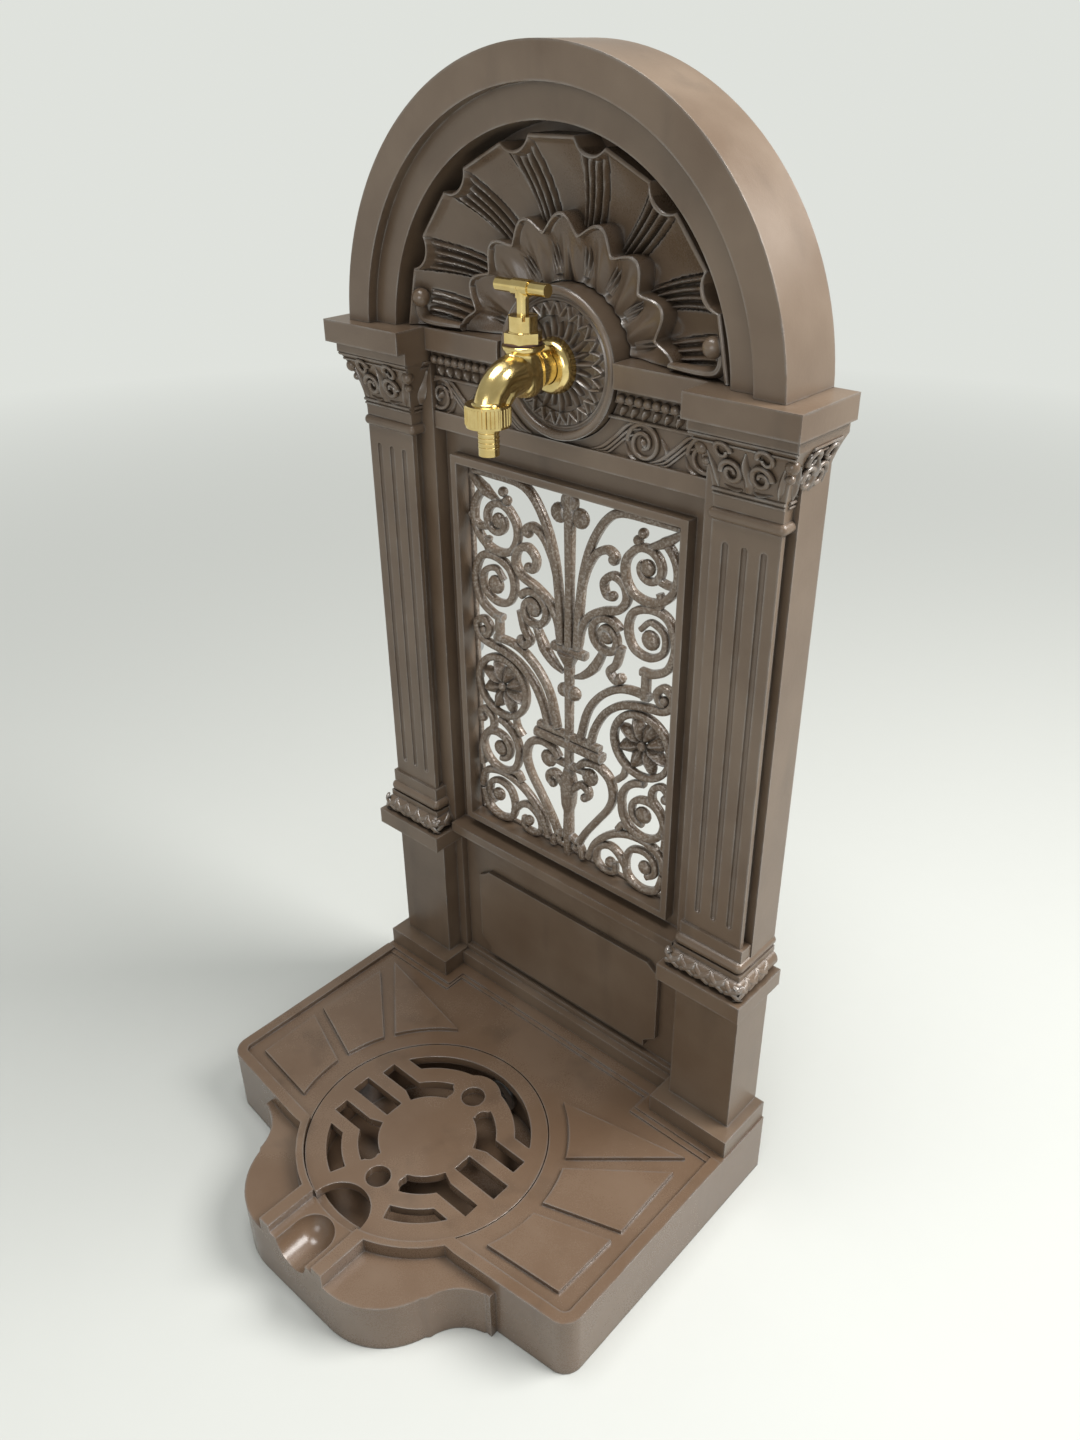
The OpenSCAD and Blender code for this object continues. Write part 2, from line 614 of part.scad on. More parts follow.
// ---- arch head ----
module half_space() { translate([0, 0, spring_z + 150]) cube([500, 300, 300], center = true); }
module arch_head() {
    color(paint) placed() difference() {
        intersection() {
            rod_y(arch_r, 0, arch_y, 0, arch_cz);
            half_space();
        }
        rod_y(arch_r - band_w, arch2_y, arch_y + e, 0, arch_cz);
        rod_y(inner_r, tymp_y, arch_y + e, 0, arch_cz);
        // hollow ring behind the bands, with a foot left at each end
        intersection() {
            difference() {
                rod_y(arch_r - cast_t, -e, arch2_y - cast_t, 0, arch_cz);
                rod_y(inner_r + cast_t, -2 * e, arch_y, 0, arch_cz);
            }
            translate([0, 0, 8]) half_space();
        }
        // shallow back of the plate behind the shell
        intersection() {
            rod_y(inner_r - 2, -e, seat_y, 0, arch_cz);
            translate([0, 0, 6]) half_space();
        }
        rod_y(drum_r + 0.8, tymp_y - e, arch_y, 0, arch_cz);
        rod_y(28, -e, seat_y, 0, arch_cz);
        rod_y(inlet_r + bolt_gap, -e, arch_y, 0, arch_cz);
        both() translate([arch_bolt_x, -arch_bolt_y, spring_z - e]) cylinder(r = m8 + bolt_gap, h = 12);
        for (a = plaque_angles) rod_y(m5 + bolt_gap, -e, tymp_y + e, plaque_r * cos(a), arch_cz + plaque_r * sin(a));
    }
}

// ---- shell plaque ----
module shell_plaque() {
    color(paint) placed() difference() {
        intersection() {
            translate([0, -tymp_y, arch_cz]) rotate([90, 0, 0]) rotate_extrude($fn = 128)
                polygon([[drum_r + 1.5, 0], [drum_r + 1.5, 5], [drum_r + 8, 12], [92, 13], [94, 8], [inner_r - 10, arch2_y - tymp_y - 6],
                    [inner_r - 4, arch2_y - tymp_y - 8], [inner_r - 2, arch2_y - tymp_y - 14], [inner_r - 1, 0]]);
            translate([0, 0, 0.5]) half_space();
        }
        for (a = plaque_angles) rod_y(m5 + fit, tymp_y - e, tymp_y + 8, plaque_r * cos(a), arch_cz + plaque_r * sin(a));
    }
}

// ---- rosette ----
module tap_rosette() {
    h = drum_y - tymp_y;
    color(paint) placed() translate([0, -tymp_y, arch_cz]) rotate([90, 0, 0]) rotate_extrude($fn = 96)
        polygon([[inlet_r + bolt_gap, h - 6], [inlet_r + bolt_gap, h - 2], [drum_r - 9, h - 3], [drum_r - 7, h], [drum_r - 1, h], [drum_r, h - 1],
            [drum_r, 0], [drum_r - cast_t, 0], [drum_r - cast_t, h - cast_t - 3], [inlet_r + 8, h - cast_t - 3],
            [inlet_r + 8, 0], [inlet_r + bolt_gap, 0]]);
}

// ---- tap ----
module at_tap(y, z) { translate([0, -y, z]) children(); }
module tap_flange() {
    color(brass) placed() translate([0, -flange_y, arch_cz]) rotate([90, 0, 0]) rotate_extrude()
        polygon(concat([[inlet_r + 0.2, 0], [flange_r, 0]],
            [for (a = [0:15:75]) [inlet_r + 2 + (flange_r - inlet_r - 2) * cos(a), 2 + 8 * sin(a)]], [[inlet_r + 0.2, 10]]));
}
module spout(r) {
    rod_y(r, spindle_y, outlet_y - spout_bend, 0, outlet_z + spout_bend);
    translate([0, -(outlet_y - spout_bend), outlet_z]) rotate([0, 0, 180]) rotate([90, 0, 90])
        rotate_extrude(angle = 90) translate([spout_bend, 0]) circle(r = r);
}
module tap_body() {
    color(brass) placed() difference() {
        union() {
            rod_y(inlet_r, -rear_out, -e, 0, arch_cz);
            rod_y(shank_r, -e, body_front + 2, 0, arch_cz);
            rod_y(inlet_r + 2, body_front, spindle_y, 0, arch_cz);
            at_tap(spindle_y, arch_cz - 12) cylinder(r = barrel_r, h = barrel_top - arch_cz + 12);
            at_tap(spindle_y, arch_cz - 12) sphere(r = barrel_r);
            at_tap(spindle_y, barrel_top - 4) cylinder(r = barrel_r + 1, h = 4);
            spout(spout_r);
            at_tap(outlet_y, outlet_z - 9.5) cylinder(r = inlet_r, h = 10);
        }
        // inlet, lower chamber, seat, upper chamber and outlet
        rod_y(6.5, -rear_out - e, spindle_y - barrel_r - 3, 0, arch_cz);
        at_tap(spindle_y - barrel_r - 1, arch_cz) rotate([116, 0, 0]) translate([0, 0, -5]) cylinder(r = 3.2, h = 20);
        at_tap(spindle_y, arch_cz - 14) cylinder(r = 7.5, h = 14);
        at_tap(spindle_y, arch_cz - 5) cylinder(r = 4.6, h = 10);
        at_tap(spindle_y, seat_top) cylinder(r = 10, h = 30);
        spout(bore_r);
        at_tap(outlet_y, outlet_z - 10) cylinder(r = bore_r, h = 10);
    }
}
module bonnet() {
    color(brass) placed() at_tap(spindle_y, 0) difference() {
        union() {
            translate([0, 0, barrel_top - 7]) cylinder(r = 10 - fit, h = 7);
            translate([0, 0, barrel_top + 1]) hex(22, 6.5);
            translate([0, 0, barrel_top]) cylinder(r = 9.9, h = 8);
            translate([0, 0, barrel_top + 7]) cylinder(r = 9.4, h = bonnet_top - barrel_top - 7);
        }
        translate([0, 0, barrel_top - 9]) cylinder(r = 6.5 + fit, h = 9 + 7);
        translate([0, 0, 0]) cylinder(r = spindle_r + fit, h = bonnet_top + 1);
        translate([0, 0, bonnet_top - 4]) cylinder(r = 6.5, h = 5);
    }
}
module bonnet_washer() {
    color(fibre) placed() at_tap(spindle_y, barrel_top) tube(12.4, 10, 1);
}
module gland_packing() {
    color(rubber) placed() at_tap(spindle_y, bonnet_top - 4) tube(6.4, spindle_r + fit, 2.6);
}
module gland_nut() {
    color(brass) placed() at_tap(spindle_y, 0) difference() {
        union() {
            translate([0, 0, bonnet_top]) cylinder(r = 9.4, h = gland_top - bonnet_top);
            translate([0, 0, bonnet_top - 1.4]) cylinder(r = 6.4, h = 2);
        }
        cylinder(r = spindle_r + fit, h = gland_top + 1);
        for (a = [45, 135]) translate([0, 0, gland_top - 1]) rotate([0, 0, a]) cube([30, 2, 3], center = true);
    }
}
module spindle() {
    color(brass) placed() at_tap(spindle_y, 0) difference() {
        union() {
            translate([0, 0, seat_top + 5]) cylinder(r = 6.5, h = 10);
            translate([0, 0, seat_top + 5]) cylinder(r = spindle_r, h = bar_z - seat_top - 3);
        }
        translate([0, 0, seat_top + 4]) cylinder(r = 2.5 + fit, h = 9);
        translate([0, 10, bar_z]) rotate([90, 0, 0]) cylinder(r = pin_r + fit, h = 20);
    }
}
module tee_handle() {
    color(brass) placed() at_tap(spindle_y, 0) difference() {
        union() {
            translate([-bar_l / 2, 0, bar_z]) rotate([0, 90, 0]) cylinder(r = bar_r, h = bar_l);
            translate([-7, 0, bar_z]) rotate([0, 90, 0]) cylinder(r = bar_r + 0.9, h = 14);
            translate([0, 0, bar_z - 6]) cylinder(r = spindle_r + 0.9, h = 7);
        }
        translate([0, 0, bar_z - 20]) cylinder(r = spindle_r + 0.02, h = 22);
        translate([0, 10, bar_z]) rotate([90, 0, 0]) cylinder(r = pin_r + fit, h = 20);
    }
}
module handle_pin() {
    color(steel) placed() at_tap(spindle_y, bar_z) translate([0, 4.9, 0]) rotate([90, 0, 0]) cylinder(r = pin_r, h = 9.8);
}
module valve_jumper() {
    color(brass) placed() at_tap(spindle_y, seat_top + 2) {
        cylinder(r = 7.6, h = 2.6);
        cylinder(r = 2.5, h = 9);
    }
}
module valve_washer() {
    color(rubber) placed() at_tap(spindle_y, seat_top) cylinder(r = 7.4, h = 2);
}
module hose_nut() {
    color(brass) placed() at_tap(outlet_y, nut_z0) difference() {
        union() {
            cylinder(r = nut_r - 0.5, h = nut_h);
            for (i = [0:35]) rotate([0, 0, 10 * i]) translate([nut_r - 0.8, 0, 1.5]) cylinder(r = 0.8, h = 11, $fn = 4);
        }
        translate([0, 0, 2]) cylinder(r = inlet_r + fit, h = 20);
        translate([0, 0, -e]) cylinder(r = tail_r + 0.3, h = 5);
    }
}
module hose_tail() {
    color(brass) placed() at_tap(outlet_y, nut_z0 - tail_l) difference() {
        union() {
            cylinder(r = tail_r - 0.4, h = tail_l + 2);
            for (i = [0:3]) translate([0, 0, 4 + 3 * i]) cylinder(r1 = tail_r - 0.6, r2 = tail_r, h = 2);
            translate([0, 0, tail_l - 3]) cylinder(r = tail_r, h = 5);
            translate([0, 0, tail_l + 2.1]) cylinder(r = inlet_r - 0.4, h = 1.4);
            translate([0, 0, tail_l + 1]) cylinder(r = tail_r, h = 2.5);
        }
        translate([0, 0, -e]) cylinder(r = 4.6, h = 40);
    }
}
module hose_washer() {
    color(rubber) placed() at_tap(outlet_y, nut_z0 + 3.5) tube(10, 5, outlet_z - 9.5 - nut_z0 - 3.5);
}
module locknut_washer() {
    color(steel) placed() translate([0, -seat_y, arch_cz]) rotate([-90, 0, 0]) tube(16, shank_r + 0.2, 1.5);
}
module tap_locknut() {
    color(brass) placed() translate([0, -seat_y + 1.5, arch_cz]) rotate([-90, 0, 0]) difference() {
        hex(28, 6);
        translate([0, 0, -e]) cylinder(r = shank_r + fit, h = 9);
    }
}

// ---- drain fittings ----
module drain_pipe() {
    color(brass) placed() difference() {
        union() {
            rod_y(drain_r, -rear_out, -e, 0, drain_z);
            rod_y(waste_r, -e, sump_back + 2, 0, drain_z);
            rod_y(drain_r + 5, sump_back + 1.5, sump_back + 4.5, 0, drain_z);
        }
        rod_y(drain_r - 2.5, -rear_out - e, sump_back + 6, 0, drain_z);
    }
}
module drain_gasket() {
    color(rubber) placed() difference() {
        rod_y(drain_r + 4, sump_out - 2, sump_out + 8, 0, drain_z);
        rod_y(waste_r + 0.2, sump_out - 4, sump_out + 10, 0, drain_z);
        translate([0, -grate_y, 0]) cylinder(r = ring_r - 0.5, h = 60, $fn = 128);
    }
}
module drain_locknut() {
    color(brass) placed() translate([0, -(sump_out - 2), drain_z]) rotate([-90, 0, 0]) difference() {
        hex(29, 6);
        translate([0, 0, -e]) cylinder(r = waste_r + fit, h = 9);
    }
}
module drain_strainer() {
    color(steel) placed() translate([0, -(sump_back + 4.5), drain_z]) rotate([90, 0, 0]) difference() {
        union() {
            cylinder(r = drain_r + 4, h = 1);
            translate([0, 0, -3]) tube(drain_r - 2.5, drain_r - 3.5, 4);
        }
        for (i = [0:5]) rotate([0, 0, 60 * i]) translate([4.6, 0, -1]) cylinder(r = 1.6, h = 4);
        translate([0, 0, -1]) cylinder(r = 1.6, h = 4);
    }
}

// ---- fasteners ----
module foot_bolts() {
    color(steel) placed() both() for (x = foot_bolt_x) translate([x, -bolt_y, deck_under - 1.6]) {
        cylinder(r = m8, h = foot_z - deck_under - 2);
        translate([0, 0, -5.3]) hex(13, 5.3);
    }
}
module foot_washers() {
    color(steel) placed() both() for (x = foot_bolt_x) translate([x, -bolt_y, deck_under - 1.6]) tube(8, m8 + 0.2, 1.6);
}
module side_places() { both() for (z = concat(side_bolt_z, beam_bolt_z)) translate([0, -side_bolt_y, z]) rotate([0, 90, 0]) children(); }
module side_bolts() {
    x0 = mid_half - flange_t;
    color(steel) placed() side_places() {
        translate([0, 0, x0]) cylinder(r = m6, h = pocket_x0 + 7 - x0);
        translate([0, 0, x0 - 4]) cylinder(r = head_r, h = 4);
    }
}
module side_nuts() {
    color(steel) placed() side_places() translate([0, 0, pocket_x0]) difference() {
        hex(8.6, 4.5);
        translate([0, 0, -e]) cylinder(r = m6 + fit, h = 6);
    }
}
module arch_bolts() {
    color(steel) placed() both() translate([arch_bolt_x, -arch_bolt_y, pocket_z1]) {
        cylinder(r = m8, h = 26);
        translate([0, 0, -5.3]) hex(13, 5.3);
    }
}
module arch_nuts() {
    color(steel) placed() both() translate([arch_bolt_x, -arch_bolt_y, spring_z + 8]) difference() {
        hex(13, 6.5);
        translate([0, 0, -e]) cylinder(r = m8 + fit, h = 8);
    }
}
module plaque_screws() {
    color(steel) placed() for (a = plaque_angles) {
        x = plaque_r * cos(a);
        z = arch_cz + plaque_r * sin(a);
        rod_y(m5, seat_y, tymp_y + 7, x, z);
        rod_y(head_r, seat_y - 3, seat_y, x, z);
    }
}
module panel_screws() {
    color(steel) placed() both() for (z = panel_screw_z) {
        rod_y(m5, back_y, wall_y + 3, panel_screw_x, z);
        rod_y(head_r, back_y - 3, back_y, panel_screw_x, z);
    }
}
module grille_screws() {
    color(steel) placed() grille_places() {
        rod_y(m4, grille_off, lip_y + 8, 0, 0);
        rod_y(3.6, grille_off - 2.5, grille_off, 0, 0);
    }
}

base_tray();
drain_grate();
left_pilaster();
right_pilaster();
wall_panel();
scroll_grille();
lower_panel();
frieze_beam();
arch_head();
shell_plaque();
tap_rosette();
tap_flange();
tap_body();
bonnet();
bonnet_washer();
gland_nut();
gland_packing();
spindle();
tee_handle();
handle_pin();
valve_jumper();
valve_washer();
hose_nut();
hose_tail();
hose_washer();
tap_locknut();
locknut_washer();
drain_pipe();
drain_gasket();
drain_locknut();
drain_strainer();
foot_bolts();
foot_washers();
side_bolts();
side_nuts();
arch_bolts();
arch_nuts();
plaque_screws();
panel_screws();
grille_screws();
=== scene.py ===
# Cast-metal wall fountain with a brass tap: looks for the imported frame.
import json
import math

import bmesh
import bpy
import numpy as np
from mathutils import Matrix, Vector

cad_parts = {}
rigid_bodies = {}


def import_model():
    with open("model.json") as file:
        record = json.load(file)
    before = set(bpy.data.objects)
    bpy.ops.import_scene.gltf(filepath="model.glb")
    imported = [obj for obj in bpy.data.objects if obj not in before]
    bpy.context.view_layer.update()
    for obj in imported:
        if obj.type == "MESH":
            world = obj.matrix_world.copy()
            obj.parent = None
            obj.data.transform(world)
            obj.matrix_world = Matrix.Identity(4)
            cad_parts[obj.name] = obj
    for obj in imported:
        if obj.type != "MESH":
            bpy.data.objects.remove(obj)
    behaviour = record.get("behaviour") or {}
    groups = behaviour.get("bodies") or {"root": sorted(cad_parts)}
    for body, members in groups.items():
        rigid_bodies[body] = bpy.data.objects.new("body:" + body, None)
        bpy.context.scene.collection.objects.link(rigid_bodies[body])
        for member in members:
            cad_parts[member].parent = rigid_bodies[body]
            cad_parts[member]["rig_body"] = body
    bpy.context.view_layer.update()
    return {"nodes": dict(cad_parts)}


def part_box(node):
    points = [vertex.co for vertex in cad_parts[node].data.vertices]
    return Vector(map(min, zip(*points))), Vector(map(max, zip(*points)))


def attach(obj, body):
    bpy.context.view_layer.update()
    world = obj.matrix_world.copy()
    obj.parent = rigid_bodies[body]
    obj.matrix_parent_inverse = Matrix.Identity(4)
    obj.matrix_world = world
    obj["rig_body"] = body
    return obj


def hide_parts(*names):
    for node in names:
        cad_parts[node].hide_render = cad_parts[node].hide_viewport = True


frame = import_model()
print("stage: frame loaded")

mm = 0.001
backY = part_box("wall_panel")[1].y   # the wall's back plane; depths are measured forward from it


# metres in the frame, from millimetres across, forward and up
def place(x, depth, z):
    across = np.asarray(x, float) * mm
    forward = backY - np.asarray(depth, float) * mm
    return np.stack(np.broadcast_arrays(across, forward, np.asarray(z, float) * mm), -1)


# ---- materials ----

class Flow:
    # a number socket that can be written into sums
    def __init__(self, painter, socket):
        self.painter = painter
        self.socket = socket

    def __add__(self, other):
        return self.painter.maths("ADD", self, other)

    def __radd__(self, other):
        return self.painter.maths("ADD", other, self)

    def __sub__(self, other):
        return self.painter.maths("SUBTRACT", self, other)

    def __rsub__(self, other):
        return self.painter.maths("SUBTRACT", other, self)

    def __mul__(self, other):
        return self.painter.maths("MULTIPLY", self, other)

    def __rmul__(self, other):
        return self.painter.maths("MULTIPLY", other, self)


# inputs are named by their label, or i0, i1 by their place
def addNode(tree, kind, settings, inputs):
    made = tree.nodes.new(kind)
    for key, value in (settings or {}).items():
        setattr(made, key, value)
    for key, value in inputs.items():
        socket = made.inputs[int(key[1:]) if key[1:].isdigit() else key.replace("_", " ")]
        if isinstance(value, Flow):
            value = value.socket
        if isinstance(value, bpy.types.NodeSocket):
            tree.links.new(value, socket)
        else:
            socket.default_value = value
    return made


class Painter:
    # builds one material
    def __init__(self, name):
        self.material = bpy.data.materials.new(name)
        self.material.use_nodes = True
        self.tree = self.material.node_tree
        self.tree.nodes.clear()

    def node(self, kind, settings=None, **inputs):
        return addNode(self.tree, kind, settings, inputs)

    def maths(self, operation, a, b, clamp=False):
        made = self.node("ShaderNodeMath", {"operation": operation, "use_clamp": clamp}, i0=a, i1=b)
        return Flow(self, made.outputs[0])

    def blend(self, factor, a, b):
        return self.node("ShaderNodeMix", {"data_type": "RGBA"}, i0=factor, i6=a, i7=b).outputs[2]

    def noise(self, scale, detail, stretch=(1, 1, 1)):
        spot = self.node("ShaderNodeTexCoord").outputs["Object"]
        turned = self.node("ShaderNodeMapping", None, Vector=spot, Scale=stretch).outputs[0]
        made = self.node("ShaderNodeTexNoise", None, Vector=turned, Scale=scale, Detail=detail)
        return Flow(self, made.outputs[0])

    # two stops, each with a position and a grey
    def ramp(self, value, *stops):
        made = self.node("ShaderNodeValToRGB", None, Fac=value)
        for element, (position, grey) in zip(made.color_ramp.elements, stops):
            element.position = position
            element.color = (grey, grey, grey, 1)
        return Flow(self, made.outputs[0])

    # 0 on flat faces, towards 1 on edges, within that radius
    def edges(self, radius):
        bent = self.node("ShaderNodeBevel", {"samples": 4}, Radius=radius).outputs[0]
        flat = self.node("ShaderNodeNewGeometry").outputs["Normal"]
        dot = self.node("ShaderNodeVectorMath", {"operation": "DOT_PRODUCT"}, i0=bent, i1=flat)
        return 1.0 - Flow(self, dot.outputs["Value"])

    # towards 1 in corners and grooves, looking that far
    def hollows(self, distance):
        made = self.node("ShaderNodeAmbientOcclusion", {"samples": 6}, Distance=distance)
        return 1.0 - Flow(self, made.outputs["AO"])

    def bump(self, height, strength, distance):
        made = self.node("ShaderNodeBump", None, Height=height, Strength=strength, Distance=distance)
        return made.outputs[0]

    def finish(self, **inputs):
        shader = self.node("ShaderNodeBsdfPrincipled", None, **inputs)
        self.node("ShaderNodeOutputMaterial", None, Surface=shader.outputs[0])
        return self.material


# the darkest colour paints both the drip streaks and the painted shade in the hollows
castLook = {
    "brown": (0.112, 0.074, 0.047, 1), "pale": (0.168, 0.122, 0.085, 1), "russet": (0.125, 0.070, 0.040, 1),
    # the graphite grey is rubbed metal on edges and also lightens them as a painted highlight
    "graphiteAndHighlight": (0.36, 0.35, 0.34, 1), "sootAndShade": (0.010, 0.008, 0.006, 1), "sparkle": (0.40, 0.35, 0.30, 1),
    "cloudScale": 14, "streakScale": 30, "drip": (1, 1, 0.22), "patchScale": 60, "pitScale": 240,
    # the fleck scale sets the size of the painted glints
    "glintFleckScale": 520, "grainScale": 900, "paleShare": 0.75, "streakShare": 0.22, "hollowShadeShare": 0.80,
    "hollow": 0.010, "edge": 0.0026, "rough": 0.36, "bump": 0.22, "bumpDepth": 0.0006, "coat": 0.22,
    "coatRough": 0.28}


# cast-metal paint: clouds and dark drip streaks, painted shade with a little patina in the hollows,
# graphite where edges are rubbed bare and partly a painted edge highlight, and painted glints as bright
# flecks where asked
def castPaint(name, gloss=0.0, sand=0.0, red=0.0, edgeWearAndHighlight=0.55, fleckAndGlint=0.0):
    p = Painter(name)
    cloud = p.ramp(p.noise(castLook["cloudScale"], 4), (0.35, 0), (0.68, 1))
    streak = p.ramp(p.noise(castLook["streakScale"], 3, castLook["drip"]), (0.58, 0), (0.74, 1))
    fine = p.noise(castLook["grainScale"], 3)
    pits = p.noise(castLook["pitScale"], 4)
    colour = p.blend(cloud * castLook["paleShare"], castLook["brown"], castLook["pale"])
    if red:
        colour = p.blend(red, colour, castLook["russet"])
    colour = p.blend(streak * castLook["streakShare"], colour, castLook["sootAndShade"])
    hollow = p.ramp(p.hollows(castLook["hollow"]), (0.25, 0), (0.95, 1))
    # painted shade: the hollows darken as shade would, with a little patina
    colour = p.blend(hollow * castLook["hollowShadeShare"], colour, castLook["sootAndShade"])
    patchy = p.ramp(p.noise(castLook["patchScale"], 4), (0.38, 0.15), (0.62, 1))
    # edges: partly real wear rubbed to graphite, partly a painted highlight along every edge
    rim = p.ramp(p.edges(castLook["edge"]), (0.015, 0), (0.11, 1)) * patchy * (1.0 - hollow)
    colour = p.blend(rim * edgeWearAndHighlight, colour, castLook["graphiteAndHighlight"])
    # painted glints: bright specks lighten the colour as sparkle, with a little metal showing there
    if fleckAndGlint:
        bright = p.ramp(p.noise(castLook["glintFleckScale"], 2), (0.50, 0), (0.60, 1)) * (1.0 - hollow)
        colour = p.blend(bright * fleckAndGlint, colour, castLook["sparkle"])
        rim = p.maths("MAXIMUM", rim, bright * fleckAndGlint)
    uneven = castLook["rough"] - gloss + (fine - 0.5) * 0.12 + (cloud - 0.5) * 0.10
    rough = p.maths("ADD", uneven, rim * -0.08, True)
    height = fine * (0.35 + sand) + pits * (0.65 + sand * 1.5)
    normal = p.bump(height, castLook["bump"] + sand * 0.5, castLook["bumpDepth"])
    return p.finish(Base_Color=colour, Roughness=rough, Metallic=rim * 0.5, Normal=normal,
                    Coat_Weight=castLook["coat"], Coat_Roughness=castLook["coatRough"])


brassTone = {
    "light": (0.84, 0.66, 0.30, 1), "deep": (0.74, 0.55, 0.22, 1), "tarnish": (0.22, 0.12, 0.03, 1),
    "wornScale": 120, "turningScale": 700, "turning": (1, 1, 0.15), "hollow": 0.004, "tarnishShare": 0.7,
    "bump": 0.05, "bumpDepth": 0.0003}


def brassLook(name, polish):
    p = Painter(name)
    worn = p.noise(brassTone["wornScale"], 4)
    fine = p.noise(brassTone["turningScale"], 2, brassTone["turning"])
    colour = p.blend(p.ramp(worn, (0.35, 0), (0.7, 1)), brassTone["light"], brassTone["deep"])
    hollow = p.ramp(p.hollows(brassTone["hollow"]), (0.3, 0), (1, 1))
    colour = p.blend(hollow * brassTone["tarnishShare"], colour, brassTone["tarnish"])
    rough = p.maths("ADD", polish, (worn - 0.5) * 0.10, True)
    normal = p.bump(fine, brassTone["bump"], brassTone["bumpDepth"])
    return p.finish(Base_Color=colour, Roughness=rough, Metallic=1.0, Normal=normal)


def plainLook(name, colour, dark, rough, metal, scale):
    p = Painter(name)
    cloud = p.noise(scale, 4)
    tint = p.blend(p.ramp(cloud, (0.35, 0), (0.7, 1)), colour, dark)
    uneven = p.maths("ADD", rough, (cloud - 0.5) * 0.2, True)
    normal = p.bump(p.noise(scale * 6, 2), 0.12, 0.0003)
    return p.finish(Base_Color=tint, Roughness=uneven, Metallic=metal, Normal=normal)


paint = castPaint("bronzePaint")
deckPaint = castPaint("deckPaint", gloss=0.10, red=0.35)
reliefPaint = castPaint("reliefPaint", gloss=0.05, sand=0.08, edgeWearAndHighlight=0.8)
grillePaint = castPaint("sandCastPaint", gloss=0.08, sand=0.55, edgeWearAndHighlight=0.9, fleckAndGlint=0.5)
brass = brassLook("polishedBrass", 0.19)
satinBrass = brassLook("turnedBrass", 0.24)
steel = plainLook("zincSteel", (0.55, 0.56, 0.57, 1), (0.38, 0.39, 0.40, 1), 0.34, 1.0, 90)
rubber = plainLook("blackRubber", (0.030, 0.030, 0.030, 1), (0.018, 0.018, 0.018, 1), 0.7, 0.0, 200)
fibre = plainLook("fibreWasher", (0.10, 0.045, 0.03, 1), (0.06, 0.03, 0.02, 1), 0.75, 0.0, 260)
print("stage: materials made")


# ---- mesh helpers ----

def setSmooth(mesh, angle):
    for polygon in mesh.polygons:
        polygon.use_smooth = True
    mesh.set_sharp_from_angle(angle=math.radians(angle))


def addPiece(name, mesh, material, body="fountain", angle=35, replaces=()):
    mesh.materials.clear()
    mesh.materials.append(material)
    setSmooth(mesh, angle)
    piece = bpy.data.objects.new(name, mesh)
    bpy.context.scene.collection.objects.link(piece)
    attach(piece, body)
    if replaces:
        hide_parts(*replaces)
    return piece


def addRelief(name, bag, angle, *replaced):
    addPiece(name, bag.mesh(name), reliefPaint, angle=angle, replaces=replaced)


